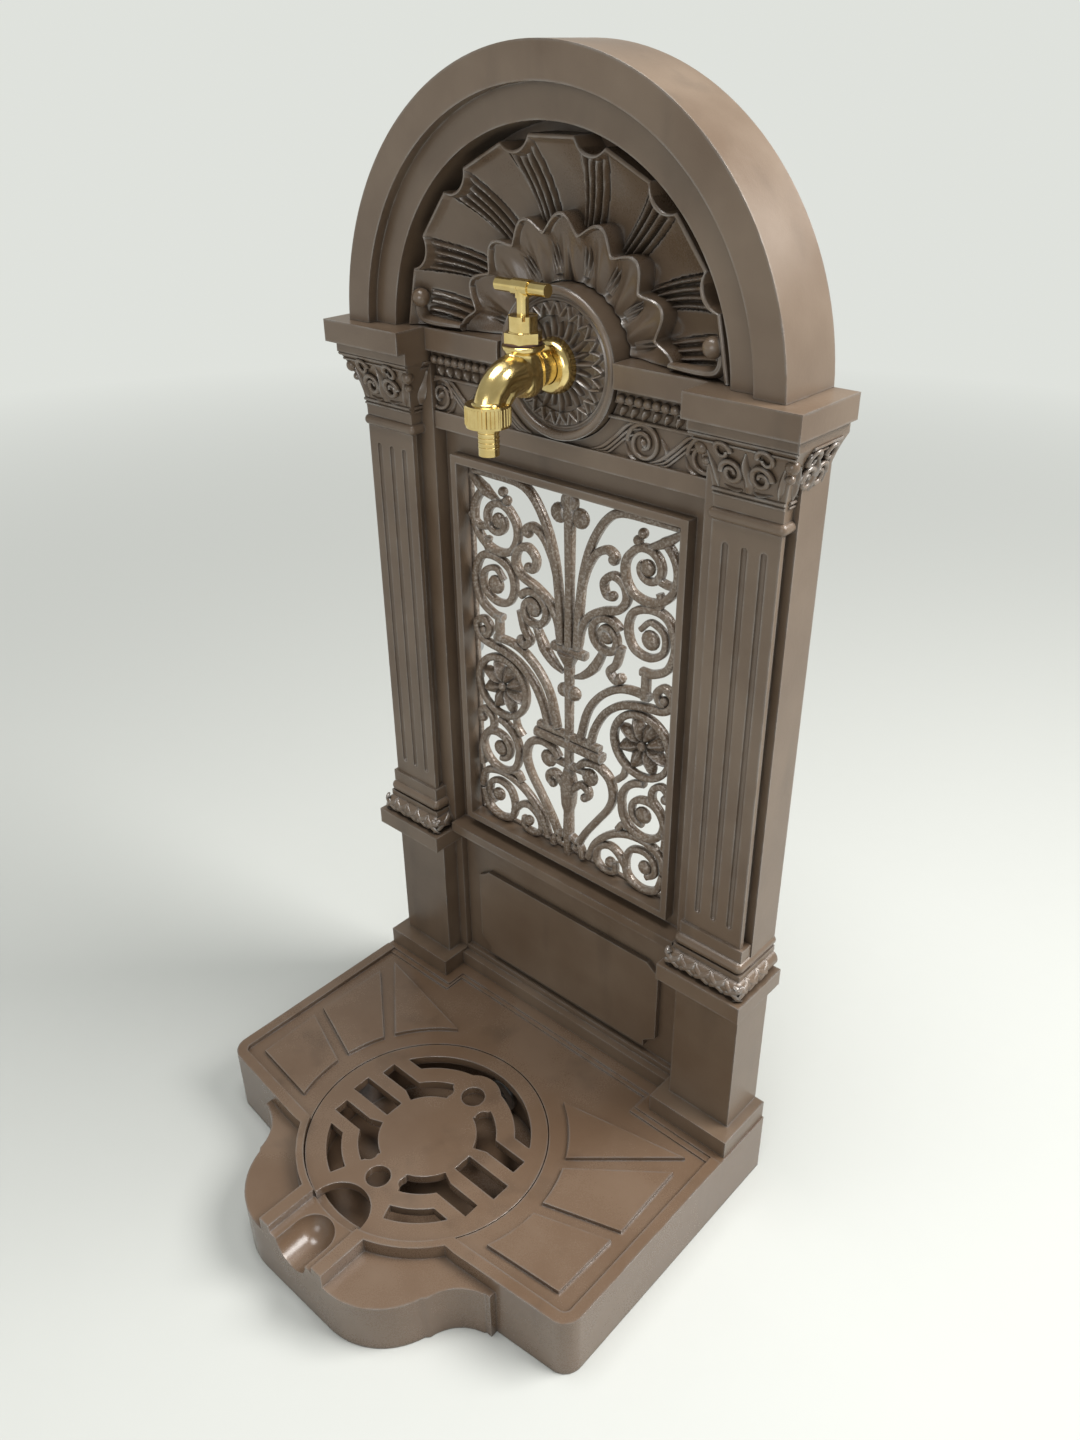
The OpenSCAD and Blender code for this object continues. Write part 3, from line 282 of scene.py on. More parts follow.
class Bag:
    # gathers closed shells into one mesh
    def __init__(self):
        self.points = []
        self.faces = []
        self.count = 0

    def add(self, points, faces):
        points = np.asarray(points, float).reshape(-1, 3)
        self.points.append(points)
        self.faces += [[i + self.count for i in face] for face in faces]
        self.count += len(points)

    def ball(self, x, depth, z, r, squash=(1, 1, 1), rings=9, around=16):
        a = np.linspace(0, 2 * np.pi, around, endpoint=False)
        t = np.linspace(0, np.pi, rings + 1)[1:-1]
        tt, aa = np.meshgrid(t, a, indexing="ij")
        px = x + r * squash[0] * np.sin(tt) * np.cos(aa)
        pz = z + r * squash[2] * np.sin(tt) * np.sin(aa)
        pd = depth + r * squash[1] * np.cos(tt)
        n = rings - 1
        points = np.concatenate([place(px, pd, pz).reshape(-1, 3), place([x], [depth + r * squash[1]], [z]),
                                 place([x], [depth - r * squash[1]], [z])])
        faces = [[i * around + j, i * around + (j + 1) % around, (i + 1) * around + (j + 1) % around,
                  (i + 1) * around + j] for i in range(n - 1) for j in range(around)]
        low = (n - 1) * around
        faces += [[n * around, (j + 1) % around, j] for j in range(around)]
        faces += [[n * around + 1, low + j, low + (j + 1) % around] for j in range(around)]
        self.add(points, faces)

    # a grid of rings, closed by a face over its first and its last ring
    def tube(self, grid):
        n, m = grid.shape[:2]
        faces = [[i * m + j, i * m + (j + 1) % m, (i + 1) * m + (j + 1) % m, (i + 1) * m + j]
                 for i in range(n - 1) for j in range(m)]
        faces += [list(range(m))[::-1], [(n - 1) * m + j for j in range(m)]]
        self.add(grid, faces)

    # a front surface with straight sides down to a flat back; "wrap" closes it into a ring
    def relief(self, front, backDepth, wrap=False):
        n, m = front.shape[:2]
        points = front.reshape(-1, 3)
        rows = n if wrap else n - 1
        faces = [[i * m + j, i * m + j + 1, (i + 1) % n * m + j + 1, (i + 1) % n * m + j]
                 for i in range(rows) for j in range(m - 1)]
        if wrap:
            rims = [[i * m for i in range(n)], [i * m + m - 1 for i in range(n)]]
        else:
            rims = [[i * m for i in range(n)] + [(n - 1) * m + j for j in range(1, m)]
                    + [i * m + m - 1 for i in range(n - 2, -1, -1)] + list(range(m - 2, 0, -1))]
        start = len(points)
        backs = []
        for rim in rims:
            low = points[rim].copy()
            low[:, 1] = backY - backDepth * mm
            points = np.concatenate([points, low])
            k = len(rim)
            faces += [[rim[j], rim[(j + 1) % k], start + (j + 1) % k, start + j] for j in range(k)]
            backs.append([start + j for j in range(k)])
            start += k
        if wrap:
            outer, inner = backs
            k = len(outer)
            faces += [[outer[j], outer[(j + 1) % k], inner[(j + 1) % k], inner[j]] for j in range(k)]
        else:
            faces.append(backs[0])
        self.add(points, faces)

    def mirror(self):
        points = np.concatenate(self.points)
        faces = list(self.faces)
        other = points.copy()
        other[:, 0] *= -1
        self.add(other, [face[::-1] for face in faces])

    def mesh(self, name):
        made = bpy.data.meshes.new(name)
        made.from_pydata(np.concatenate(self.points).tolist(), [], self.faces)
        made.validate()
        turnOut(made)
        return made


def turnOut(mesh):
    b = bmesh.new()
    b.from_mesh(mesh)
    bmesh.ops.recalc_face_normals(b, faces=b.faces)
    b.to_mesh(mesh)
    b.free()


# an object's mesh with its modifiers applied
def evaluatedMesh(holder):
    return bpy.data.meshes.new_from_object(holder.evaluated_get(bpy.context.evaluated_depsgraph_get()))


# a smooth line through a few points
def smoothLine(points, steps=8):
    p = np.asarray(points, float)
    p = np.concatenate([[2 * p[0] - p[1]], p, [2 * p[-1] - p[-2]]])
    line = []
    for i in range(1, len(p) - 2):
        for t in np.arange(steps) / steps:
            a, b, c, d = p[i - 1:i + 3]
            bend = (2 * a - 5 * b + 4 * c - d) * t ** 2
            line.append(0.5 * (2 * b + (c - a) * t + bend + (3 * b - a - 3 * c + d) * t ** 3))
    line.append(p[-2])
    return np.array(line)


# a coil round a centre: its radius at each quarter turn from the start angle
def coilLine(x, z, start, radii, turn=1, steps=9):
    quarters = len(radii) - 1
    t = np.linspace(0, quarters, quarters * steps + 1)
    r = np.interp(t, range(quarters + 1), radii)
    a = np.radians(start + turn * 90 * t)
    return np.stack([x + r * np.cos(a), z + r * np.sin(a)], -1)


# ---- geometry nodes ----

class Grower:
    # builds one geometry node tree with named inputs
    def __init__(self, name, **sizes):
        self.tree = bpy.data.node_groups.new(name, "GeometryNodeTree")
        face = self.tree.interface
        face.new_socket("Geometry", in_out="INPUT", socket_type="NodeSocketGeometry")
        face.new_socket("Geometry", in_out="OUTPUT", socket_type="NodeSocketGeometry")
        self.sizes = {}
        for key, value in sizes.items():
            kind = "NodeSocketInt" if isinstance(value, int) else "NodeSocketFloat"
            socket = face.new_socket(key, in_out="INPUT", socket_type=kind)
            self.sizes[key] = (socket.identifier, value)
        self.source = self.tree.nodes.new("NodeGroupInput")
        self.end = self.tree.nodes.new("NodeGroupOutput")

    def node(self, kind, settings=None, **inputs):
        return addNode(self.tree, kind, settings, inputs).outputs[0]

    def size(self, key):
        return self.source.outputs[key]

    def close(self, result, material):
        solid = self.node("GeometryNodeRealizeInstances", None, Geometry=result)
        done = self.node("GeometryNodeSetMaterial", None, Geometry=solid, Material=material)
        self.tree.links.new(done, self.end.inputs[0])

    # the finished mesh, with its own data turned by "matrix"
    def grow(self, data, name, matrix, **changed):
        holder = bpy.data.objects.new(name + "Grower", data)
        bpy.context.scene.collection.objects.link(holder)
        modifier = holder.modifiers.new("grow", "NODES")
        modifier.node_group = self.tree
        for key, (identifier, value) in self.sizes.items():
            modifier[identifier] = changed.get(key, value)
        mesh = evaluatedMesh(holder)
        mesh.transform(matrix)
        if matrix.determinant() < 0:
            mesh.flip_normals()
        bpy.data.objects.remove(holder)
        mesh.name = name
        return mesh


def linesData(name, lines):
    data = bpy.data.curves.new(name, "CURVE")
    data.dimensions = "3D"
    for line, widths in lines:
        spline = data.splines.new("POLY")
        spline.points.add(len(line) - 1)
        span = np.linspace(0, 1, len(line))
        radius = np.interp(span, np.linspace(0, 1, len(widths)), widths)
        for point, (x, z), r in zip(spline.points, line, radius):
            point.co = (x * mm, z * mm, 0, 1)
            point.radius = r
    return data


# a rounded bar swept along each line, as wide as the line's own radius says
def barGrower(name, material, width, depth, round_):
    g = Grower(name, barWidth=width * mm, barDepth=depth * mm, edgeRadius=round_ * mm)
    profile = g.node("GeometryNodeCurvePrimitiveQuadrilateral", {"mode": "RECTANGLE"},
                     Width=g.size("barWidth"), Height=g.size("barDepth"))
    soft = g.node("GeometryNodeFilletCurve", {"mode": "POLY"}, Curve=profile, Count=3,
                  Radius=g.size("edgeRadius"))
    level = g.node("GeometryNodeSetCurveNormal", {"mode": "Z_UP"}, Curve=g.source.outputs[0])
    radius = g.node("GeometryNodeInputRadius")
    swept = g.node("GeometryNodeCurveToMesh", None, Curve=level, Profile_Curve=soft, Fill_Caps=True,
                   Scale=radius)
    g.close(swept, material)
    return g


# lies in the wall's plane, with the drawing's third axis towards the front
def upright(depth):
    return Matrix(((1, 0, 0, 0), (0, 0, -1, backY - depth * mm), (0, 1, 0, 0), (0, 0, 0, 1)))


def joined(name, meshes):
    b = bmesh.new()
    for mesh in meshes:
        b.from_mesh(mesh)
    made = bpy.data.meshes.new(name)
    b.to_mesh(made)
    b.free()
    return made


# ---- castings with softened edges ----

softening = {"weld": 1e-5, "flatWithin": 0.6, "shadeAngle": 48, "faceWeight": 90}


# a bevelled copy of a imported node, on that node's own body
def softCopy(node, name, width, material, segments=2, angle=32, merged=True):
    mesh = frame["nodes"][node].data.copy()
    b = bmesh.new()
    b.from_mesh(mesh)
    bmesh.ops.remove_doubles(b, verts=b.verts, dist=softening["weld"])
    if merged:
        within = math.radians(softening["flatWithin"])
        bmesh.ops.dissolve_limit(b, angle_limit=within, verts=b.verts, edges=b.edges)
    b.to_mesh(mesh)
    b.free()
    holder = bpy.data.objects.new(name + "Raw", mesh)
    bpy.context.scene.collection.objects.link(holder)
    bevel = holder.modifiers.new("bevel", "BEVEL")
    bevel.width = width * mm
    bevel.segments = segments
    bevel.limit_method = "ANGLE"
    bevel.angle_limit = math.radians(angle)
    bevel.miter_outer = "MITER_ARC"
    done = evaluatedMesh(holder)
    bpy.data.objects.remove(holder)
    body = frame["nodes"][node]["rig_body"]
    piece = addPiece(name, done, material, body, softening["shadeAngle"], (node,))
    # flat faces shade flat, and only the softened edges turn
    even = piece.modifiers.new("even", "WEIGHTED_NORMAL")
    even.keep_sharp = True
    even.weight = softening["faceWeight"]
    evened = evaluatedMesh(piece)
    piece.modifiers.remove(even)
    piece.data = evened


# node, piece, width of the soft edge, paint
castings = (
    ("drain_grate", "drainGrate", 0.8, deckPaint),
    ("left_pilaster", "leftPilaster", 0.8, paint),
    ("right_pilaster", "rightPilaster", 0.8, paint),
    ("wall_panel", "wallPanel", 0.7, paint),
    ("lower_panel", "lowerPanel", 1.0, paint),
    ("frieze_beam", "friezeBeam", 0.6, paint),
)
softCopy("base_tray", "baseTray", 0.9, deckPaint, merged=False)
for node, name, width, material in castings:
    softCopy(node, name, width, material)
softCopy("arch_head", "archHead", 1.1, paint, segments=3)
print("stage: castings softened")


# ---- drawing on a surface ----

# a surface turns (across, along, height) into places; lengths in millimetres
def flat(depth):
    return lambda u, v, h: place(u, depth + h, v)


ringSides = 10      # sides of a strand
leafSide = np.array([[1.0, 0.55, 0.0, -0.55, -1.0, 0.0]])
leafLift = np.array([[0.0, 0.55, 1.0, 0.55, 0.0, 0.0]])
leafSink = np.array([[1, 0, 0, 0, 1, 1]])
leafRise = (0.35, 1, 1, 0.8, 0.2)       # a leaf's height from its foot to its tip


# the line itself and the direction square to it at each point
def pathFrame(line):
    line = np.asarray(line, float)
    along = np.gradient(line, axis=0)
    along /= np.linalg.norm(along, axis=1, keepdims=True) + 1e-12
    return line, np.stack([-along[:, 1], along[:, 0]], -1)


def spread(values, count):
    return np.interp(np.linspace(0, 1, count), np.linspace(0, 1, len(values)), values)


# a rounded strand that lies on a surface
def strand(bag, surface, line, radii, lift=0.0, squash=0.8):
    line, across = pathFrame(line)
    r = spread(radii, len(line))[:, None]
    t = np.linspace(0, 2 * np.pi, ringSides, endpoint=False)[None]
    u = line[:, :1] + across[:, :1] * r * np.cos(t)
    v = line[:, 1:] + across[:, 1:] * r * np.cos(t)
    bag.tube(surface(u, v, lift + squash * r * np.sin(t)))


# a leaf with a ridge down its middle; its sides fall to just under the surface
def leaf(bag, surface, line, halves, height, sink=0.8):
    line, across = pathFrame(line)
    r = spread(halves, len(line))[:, None]
    lift = leafLift * height * spread(leafRise, len(line))[:, None] - leafSink * sink
    u = line[:, :1] + across[:, :1] * r * leafSide
    v = line[:, 1:] + across[:, 1:] * r * leafSide
    bag.tube(surface(u, v, lift))


def straight(a, b, steps=6):
    return np.linspace(a, b, steps + 1)


# ---- scroll grille ----

grille = {"depth": 18.6, "bar": 6.4, "thick": 7.2, "round": 2.3, "drop": -2.5, "knobFlat": 4.2,
          "borderX": 107.0, "borderLow": 244.0, "borderHigh": 569.0, "borderDepth": 14.4, "borderPast": 5,
          "borderWide": 10.4, "borderThick": 4.0, "borderRound": 0.8, "starX": 72, "starZ": 384,
          "starLeaves": 8, "starIn": 3, "starOut": 26, "starLift": 6.2, "starSink": 1.5, "starBehind": 2.5}

# right half: points (across, height) with widths as parts of a full bar
sprays = (
    ([(8, 445), (10, 480), (14, 510), (22, 535), (35, 555), (50, 563), (75, 563), (97, 562)],
     (1.1, 1, 1, 1.1, 0.6)),
    ([(12, 495), (17, 512), (25, 526), (35, 532), (42, 529), (41, 524)], (0.8, 1.0, 1.1)),
    ([(70, 543), (85, 550), (99, 560)], (0.5, 1.3, 0.8)),
    ([(78, 522), (92, 520), (101, 528)], (0.9, 0.9, 0.9)),
    ([(69, 447), (80, 448), (93, 457), (98, 476), (91, 494), (76, 498), (60, 491), (56, 476), (62, 463),
      (76, 460), (88, 468), (88, 482), (76, 488), (67, 480)], (1, 1, 1, 0.9, 0.7)),
    ([(80, 498), (84, 505), (82, 512)], (0.8, 0.9, 0.8)),
    ([(73.5, 449), (73.5, 425)], (1.05, 1.05)),
    ([(78, 428), (60, 428), (45, 423), (30, 411), (19, 394), (12, 368)], (1, 1, 1, 1)),
    ([(9, 448), (12, 463), (20, 476), (33, 484), (47, 489), (54, 499), (51, 510), (41, 514), (33, 507),
      (35, 498), (41, 497)], (1, 1, 1.05, 1, 0.9)),
    ([(34, 452), (25, 435), (15, 425), (6, 420)], (0.9, 1.3, 1.0, 0.5)),
    ([(50, 460), (46, 445), (40, 437), (46, 431), (52, 436)], (1, 1, 1)),
    ([(22, 366), (27, 383), (37, 400), (52, 412), (70, 418), (90, 421), (98, 428), (98, 436), (90, 440),
      (84, 434), (87, 427), (92, 428)], (1, 1, 1, 1, 0.9)),
    ([(98, 300), (98, 318), (92, 332), (84, 341), (85, 351), (92, 356), (98, 352), (97, 345)],
     (1, 1, 0.9, 0.9)),
    ([(10, 340), (17, 347), (30, 349), (42, 342), (46, 328), (42, 314), (30, 296), (18, 278), (8, 258)],
     (1, 1.1, 1, 1)),
    ([(5, 316), (13, 324), (20, 322), (21, 316), (16, 312)], (1, 1, 0.9)),
    ([(22, 256), (30, 275), (45, 290), (62, 298), (80, 299), (95, 292), (99, 277)], (1, 1, 1, 1)),
    ([(98, 275), (92, 258), (78, 252), (64, 258), (61, 272), (66, 285), (78, 289), (88, 284), (90, 273),
      (82, 266)], (1, 1, 0.9, 0.9)),
    ([(62, 265), (52, 276), (42, 278), (32, 270), (31, 258), (40, 252), (50, 255), (50, 264)],
     (1, 0.9, 0.8)),
    ([(52, 299), (56, 305), (62, 306)], (0.9, 0.9, 0.9)),
    ([(50, 345), (56, 352), (58, 362)], (0.9, 0.9, 0.8)),
)
# centre, start angle, radius at each quarter turn, and the way it turns
coils = (
    (71, 528, 60, (26, 26, 25, 16, 13, 11.5, 8, 5), -1),
    (36, 465, 30, (15, 13.5, 13, 12.5, 8, 6, 4), 1),
    (76, 323, 90, (29, 21, 21, 20, 14, 11, 9), 1),
    (72, 384, 0, (26.5, 26.5, 26.5, 26.5, 26.5), 1),
)
coilWidths = (1, 1, 0.95, 0.85)
footRing = (0, 250, 0, (16, 16, 16), 1)
# balls in the scrolls: across, height, radius
knobs = (
    (10, 549, 8), (62, 546, 4), (66, 552, 4), (71, 528, 6.5), (76, 474, 8), (36, 465, 7), (50, 434, 4.5),
    (5.5, 405, 6.2), (22, 335, 8), (80, 274, 6.5), (45, 262, 5), (76, 323, 7.5), (41, 526, 4.5),
    (72, 384, 4), (41, 498, 4), (91, 430, 4), (96, 346, 4), (17, 313, 4),
)
middleBars = (
    ([(0, 248), (0, 284), (0, 400), (0, 428), (0, 480), (0, 566)], (1.1, 1.3, 1, 1.1, 1.2, 1, 1.3)),
    ([(-16.5, 441), (16.5, 441)], (1.1, 1.3, 1.1)),
    ([(0, 440), (0, 427)], (2.6, 1.0)),
    ([(-32, 365), (32, 365)], (0.95, 0.95)),
    ([(-34.5, 357.5), (34.5, 357.5)], (1.35, 1.35)),
    ([(-18, 337.5), (18, 337.5)], (0.85, 1.0, 0.85)),
    ([(0, 334), (0, 320), (0, 300), (0, 284)], (1.2, 2.0, 1.7, 0.5)),
)


def grilleBars():
    bars = []
    for points, widths in sprays:
        line = smoothLine(points, 7) if len(points) > 2 else straight(points[0], points[1], 2)
        bars.append((line, widths))
    for x, z, start, radii, turn in coils:
        bars.append((coilLine(x, z, start, radii, turn, 10), coilWidths))
    drop = np.array([0, grille["drop"]])
    both = [(line + drop, widths) for line, widths in bars]
    both += [((line + drop) * np.array([-1, 1]), widths) for line, widths in bars]
    both += [(smoothLine(points, 6) + drop, widths) for points, widths in middleBars]
    both.append((coilLine(*footRing, 10), (1, 1)))
    g = barGrower("scrollBars", grillePaint, grille["bar"], grille["thick"], grille["round"])
    return g.grow(linesData("scrollLines", both), "scrollBars", upright(grille["depth"]))


def grilleBorder():
    x, low, high, past = grille["borderX"], grille["borderLow"], grille["borderHigh"], grille["borderPast"]
    edge = [(straight((-x - past, z), (x + past, z), 2), (1, 1)) for z in (low, high)]
    edge += [(straight((s * x, low - past), (s * x, high + past), 2), (1, 1)) for s in (-1, 1)]
    g = barGrower("grilleBorder", grillePaint, grille["borderWide"], grille["borderThick"],
                  grille["borderRound"])
    return g.grow(linesData("borderLines", edge), "grilleBorder", upright(grille["borderDepth"]))


def grilleKnobs():
    bag = Bag()
    for x, z, r in knobs:
        bag.ball(x, grille["depth"], z + grille["drop"], r, (1, min(1, grille["knobFlat"] / r), 1), 8, 14)
    surface = flat(grille["depth"] - grille["starBehind"])
    x, z = grille["starX"], grille["starZ"] + grille["drop"]
    near, far = grille["starIn"], grille["starOut"]
    for k in range(grille["starLeaves"]):
        a = math.radians(360 / grille["starLeaves"] * (k + 0.5))
        c, s = math.cos(a), math.sin(a)
        line = straight((x + near * c, z + near * s), (x + far * c, z + far * s), 8)
        leaf(bag, surface, line, (1.2, 4.6, 7.0, 5.2, 1.2), grille["starLift"], grille["starSink"])
    bag.mirror()
    bag.ball(0, grille["depth"], 550 + grille["drop"], 7, (1, 0.6, 1))
    bag.ball(0, grille["depth"], 559 + grille["drop"], 8.5, (1, 0.5, 1))
    return bag.mesh("grilleKnobs")


def makeGrille():
    whole = joined("scrollGrille", [grilleBars(), grilleBorder(), grilleKnobs()])
    addPiece("scrollGrille", whole, grillePaint, angle=50, replaces=("scroll_grille",))


makeGrille()
print("stage: grille made")

# ---- shell, ruffle and rosette ----

shell = {"z": 655, "lobes": 7, "apothem": 136.5, "biteAt": 144.5, "biteR": 14.2, "in": 55.0,
         "floor": 14.0, "rim": 38.0, "back": 13.9, "lowZ": 664.6, "steps": 560, "rings": 46, "start": 120.0,
         "fine": (0.972, 0.978, 0.986, 0.993, 1.0), "sweep": 0.26, "groupIn": 7.6, "groupGrow": 4.6,
         "slope": 2.7, "fold": 4.8, "ridge": 6.2, "tailAngle": 0.21, "tailEnd": 0.86, "lip": 3.0,
         "curlDepth": 30, "ballX": 124.5, "ballZ": 684, "ballR": 6.6, "ballDepth": 36.5}
curl = ((126, 684), (129.5, 677), (126, 669.5), (114, 667.5), (98, 667.5), (90, 667.5))
ruffle = {"in": 50.9, "out": 82.0, "wave": 11.0, "pitch": 20.6, "low": 17.6, "rim": 30.6, "back": 14.6,
          "steps": 480, "rings": 22, "start": 75.0, "fine": (0.94, 0.955, 0.975, 1.0), "lean": 3.2,
          "swell": 5.4, "furrow": 4.2, "crease": 1.9, "lip": 2.5}
rosette = {"r": 50.0, "in": 10.8, "face": 36.0, "back": 14.0, "steps": 672, "rings": 66, "cuts": 24,
           "sunk": 4.2, "torusAt": 46.8, "torusR": 3.2, "torusLift": 3.9, "zigzagIn": 31.5,
           "zigzagWide": 8.0, "zigzagLift": 3.4, "zigzagHalf": 1.4, "lineAt": 41.2, "lineHalf": 1.2,
           "lineLift": 1.1, "longTip": 31.0, "shortTip": 28.0, "petalTaper": 12.0, "petalLift": 4.4,
           "petalSink": 1.4, "petalIn": 18, "hub": 18.2, "hubDepth": 33.8}


# polar places above the impost line; the angle starts where the circle crosses that line
def fan(r, share):
    start = np.arcsin((shell["lowZ"] - shell["z"]) / r)
    return start + (np.pi - 2 * start) * share


def shellOutline(a):
    step = np.pi / shell["lobes"]
    middle = (np.floor(a / step) + 0.5) * step
    chord = shell["apothem"] / np.cos(a - middle)
    nearest = np.clip(np.round(a / step), 1, shell["lobes"] - 1) * step
    d = a - nearest
    under = shell["biteR"] ** 2 - (shell["biteAt"] * np.sin(d)) ** 2
    bite = np.where(under > 0, shell["biteAt"] * np.cos(d) - np.sqrt(np.maximum(under, 0)), 1e3)
    return np.minimum(chord, bite)


# settles radius and angle together, since the angle's start moves with the radius
def settle(part, t, outline):
    share = np.linspace(0, 1, part["steps"] + 1)[:, None]
    a = fan(np.full_like(share, part["start"]), share)
    for _ in range(3):
        reach = outline(a)
        r = part["in"] + (reach - part["in"]) * t
        a = fan(r, share)
    return r, a, reach


# a row of fine ridges; zero past the group's own width
def ridges(side, group, phase=0.0):
    return np.abs(np.sin(np.pi * side / (group / 2.0) + phase)) ** 1.4 - 0.55


def makeShell():
    t = np.linspace(0, 1, shell["rings"] + 1) ** 0.85
    t = np.concatenate([t[:-3], shell["fine"]])[None]
    r, a, _ = settle(shell, t, shellOutline)
    reach = shellOutline(a)
    r = np.minimum(r, reach)
    step = np.pi / shell["lobes"]
    out = np.clip((r - shell["in"]) / (shell["apothem"] - shell["in"]), 0, 1.03)
    # the ridges sweep towards the top as they run in
    bent = a - (np.pi / 2 - a) * shell["sweep"] * np.clip(1 - out, 0, 1) ** 1.3
    u = bent / step - np.floor(bent / step) - 0.5
    side = (0.5 - np.abs(u)) * step * r
    group = shell["groupIn"] + shell["groupGrow"] * out
    depth = shell["floor"] + 2.6 + (shell["rim"] - 4.0 - shell["floor"]) * out ** shell["slope"]
    fold = np.cos(np.pi * u) ** 1.1 * np.sin(np.pi * np.clip(out, 0, 1)) ** 0.8
    depth = depth - shell["fold"] * fold
    line = np.round(bent / step)
    inner = (line > 0.5) & (line < shell["lobes"] - 0.5)
    ridge = ridges(side, group) * (side < group) * inner
    # the two end lobes carry their ridges towards the balls
    tail = np.abs(np.minimum(a, np.pi - a) - shell["tailAngle"]) * r
    last = ridges(tail, group, np.pi / 2) * (tail < group * 0.75) * (out < shell["tailEnd"])
    ridge = ridge + 0.8 * last
    depth = depth + shell["ridge"] * ridge * np.clip(out * 4, 0, 1) * np.clip((reach - r) / 8.0, 0.2, 1)
    depth = np.maximum(depth, shell["floor"] + 0.3)
    edge = reach - r
    half = shell["lip"] / 2
    depth = np.where(edge < shell["lip"], shell["rim"] + 0.6 - 1.0 * ((edge - half) / half) ** 2, depth)
    bag = Bag()
    bag.relief(place(r * np.cos(a), depth, shell["z"] + r * np.sin(a)), shell["back"])
    # curled ends over the impost
    for s in (-1, 1):
        lip = smoothLine([(s * x, z) for x, z in curl], 6)
        strand(bag, flat(shell["curlDepth"]), lip, (3.2, 4.0, 3.6, 2.8, 2.0), 0, 1.7)
        bag.ball(s * shell["ballX"], shell["ballDepth"], shell["ballZ"], shell["ballR"])
    addRelief("shellPlaque", bag, 38, "shell_plaque")


# 1 on a petal's middle, 0 between two petals; "folds" repeats it within a petal
def petalWave(degrees, folds=1):
    return 0.5 + 0.5 * np.cos((degrees - 90) / ruffle["pitch"] * 2 * folds * np.pi)


def ruffleOutline(a):
    return ruffle["out"] + ruffle["wave"] * petalWave(np.degrees(a)) ** 0.7


def makeRuffle():
    t = np.linspace(0, 1, ruffle["rings"] + 1)
    t = np.concatenate([t[:-2], ruffle["fine"]])[None]
    r, a, reach = settle(ruffle, t, ruffleOutline)
    # the furrows lean over as they run in towards the drum
    lean = np.sign(90 - np.degrees(a)) * ruffle["lean"] * (1 - t) ** 1.4
    wave = petalWave(np.degrees(a) + lean)
    swell = ruffle["swell"] * (wave - 0.5) * np.sin(np.pi * t ** 0.8)
    depth = ruffle["low"] + (ruffle["rim"] - 3.0 - ruffle["low"]) * t ** 2.4 + swell
    furrow = np.exp(-(wave / 0.16) ** 2) * np.clip(1.2 - t, 0, 1) * np.clip(t * 4, 0, 1)
    depth = depth - ruffle["furrow"] * furrow
    crease = petalWave(np.degrees(a) + 1.6 * lean, 2) - 0.5
    depth = depth + ruffle["crease"] * crease * np.clip(1.1 - t * 1.3, 0, 1)
    edge = reach - r
    half = ruffle["lip"] / 2
    depth = np.where(edge < ruffle["lip"], ruffle["rim"] - 0.8 * ((edge - half) / half) ** 2, depth)
    bag = Bag()
    bag.relief(place(r * np.cos(a), depth, shell["z"] + r * np.sin(a)), ruffle["back"])
    addRelief("shellRuffle", bag, 38)


def makeRosette():
    a = np.linspace(0, 2 * np.pi, rosette["steps"], endpoint=False)[:, None]
    r = np.linspace(rosette["in"], rosette["r"], rosette["rings"] + 1)[None]
    cut = rosette["cuts"] * a / (2 * np.pi)
    v = cut - np.floor(cut) - 0.5
    depth = np.full(np.broadcast_shapes(a.shape, r.shape), rosette["face"] - rosette["sunk"])
    torus = np.clip(1 - ((r - rosette["torusAt"]) / rosette["torusR"]) ** 2, 0, 1)
    depth = depth + rosette["torusLift"] * np.sqrt(torus)
    # a zigzag round the petals
    band = (r - rosette["zigzagIn"]) / rosette["zigzagWide"]
    miss = np.abs(np.abs(v) - 0.46 * band) * 2 * np.pi * r / rosette["cuts"]
    zigzag = np.clip(1 - (miss / rosette["zigzagHalf"]) ** 2, 0, 1) * (band > 0) * (band < 1)
    depth = depth + rosette["zigzagLift"] * zigzag
    line = np.clip(1 - ((r - rosette["lineAt"]) / rosette["lineHalf"]) ** 2, 0, 1)
    depth = depth + rosette["lineLift"] * line
    # long and short petals in turn
    tip = np.where((np.floor(cut) % 2) == 0, rosette["longTip"], rosette["shortTip"])
    left = np.clip((tip - r) / rosette["petalTaper"], 0, 1)
    half = 0.5 * np.sqrt(left)
    petal = np.clip(1 - np.abs(v) / np.maximum(half, 1e-3), 0, 1) * (left > 0)
    outside = r > rosette["petalIn"]
    depth = depth + rosette["petalLift"] * petal ** 0.8 * outside
    depth = depth - rosette["petalSink"] * (r <= rosette["longTip"]) * outside
    depth = np.where(r <= rosette["hub"], rosette["hubDepth"], depth)
    depth = np.where(r > rosette["r"] - 0.01, rosette["face"] - 1.8, depth)
    bag = Bag()
    bag.relief(place(r * np.cos(a), depth, shell["z"] + r * np.sin(a)), rosette["back"], True)
    addRelief("tapRosette", bag, 38, "tap_rosette")


makeShell()
makeRuffle()
makeRosette()
print("stage: shell and rosette made")

# ---- frieze ----

frieze = {"face": 27.0, "beadX": 54.5, "beadZ": 641.6, "beadDepth": 32.2, "beadR": 3.4, "pitch": 7.1,
          "beads": 10, "dartZ": 636.0, "dartFoot": 629.5, "dartPitch": 8.9, "dartLean": 2.5,
          "dartFront": 2.0, "lineZ": 627.8, "lineIn": 38, "lineOut": 122.5, "scrollX": 70, "scrollZ": 614.5,
          "scrollPitch": 48.0, "scrolls": 2, "clearR": 48.0}
scrollRadii = (12.5, 12.5, 11.5, 9.5, 8, 6.5, 5, 3.5)
sweepStrands = ((0, 1.6), (3.8, 1.2), (7.2, 1.0))       # offset and thickness


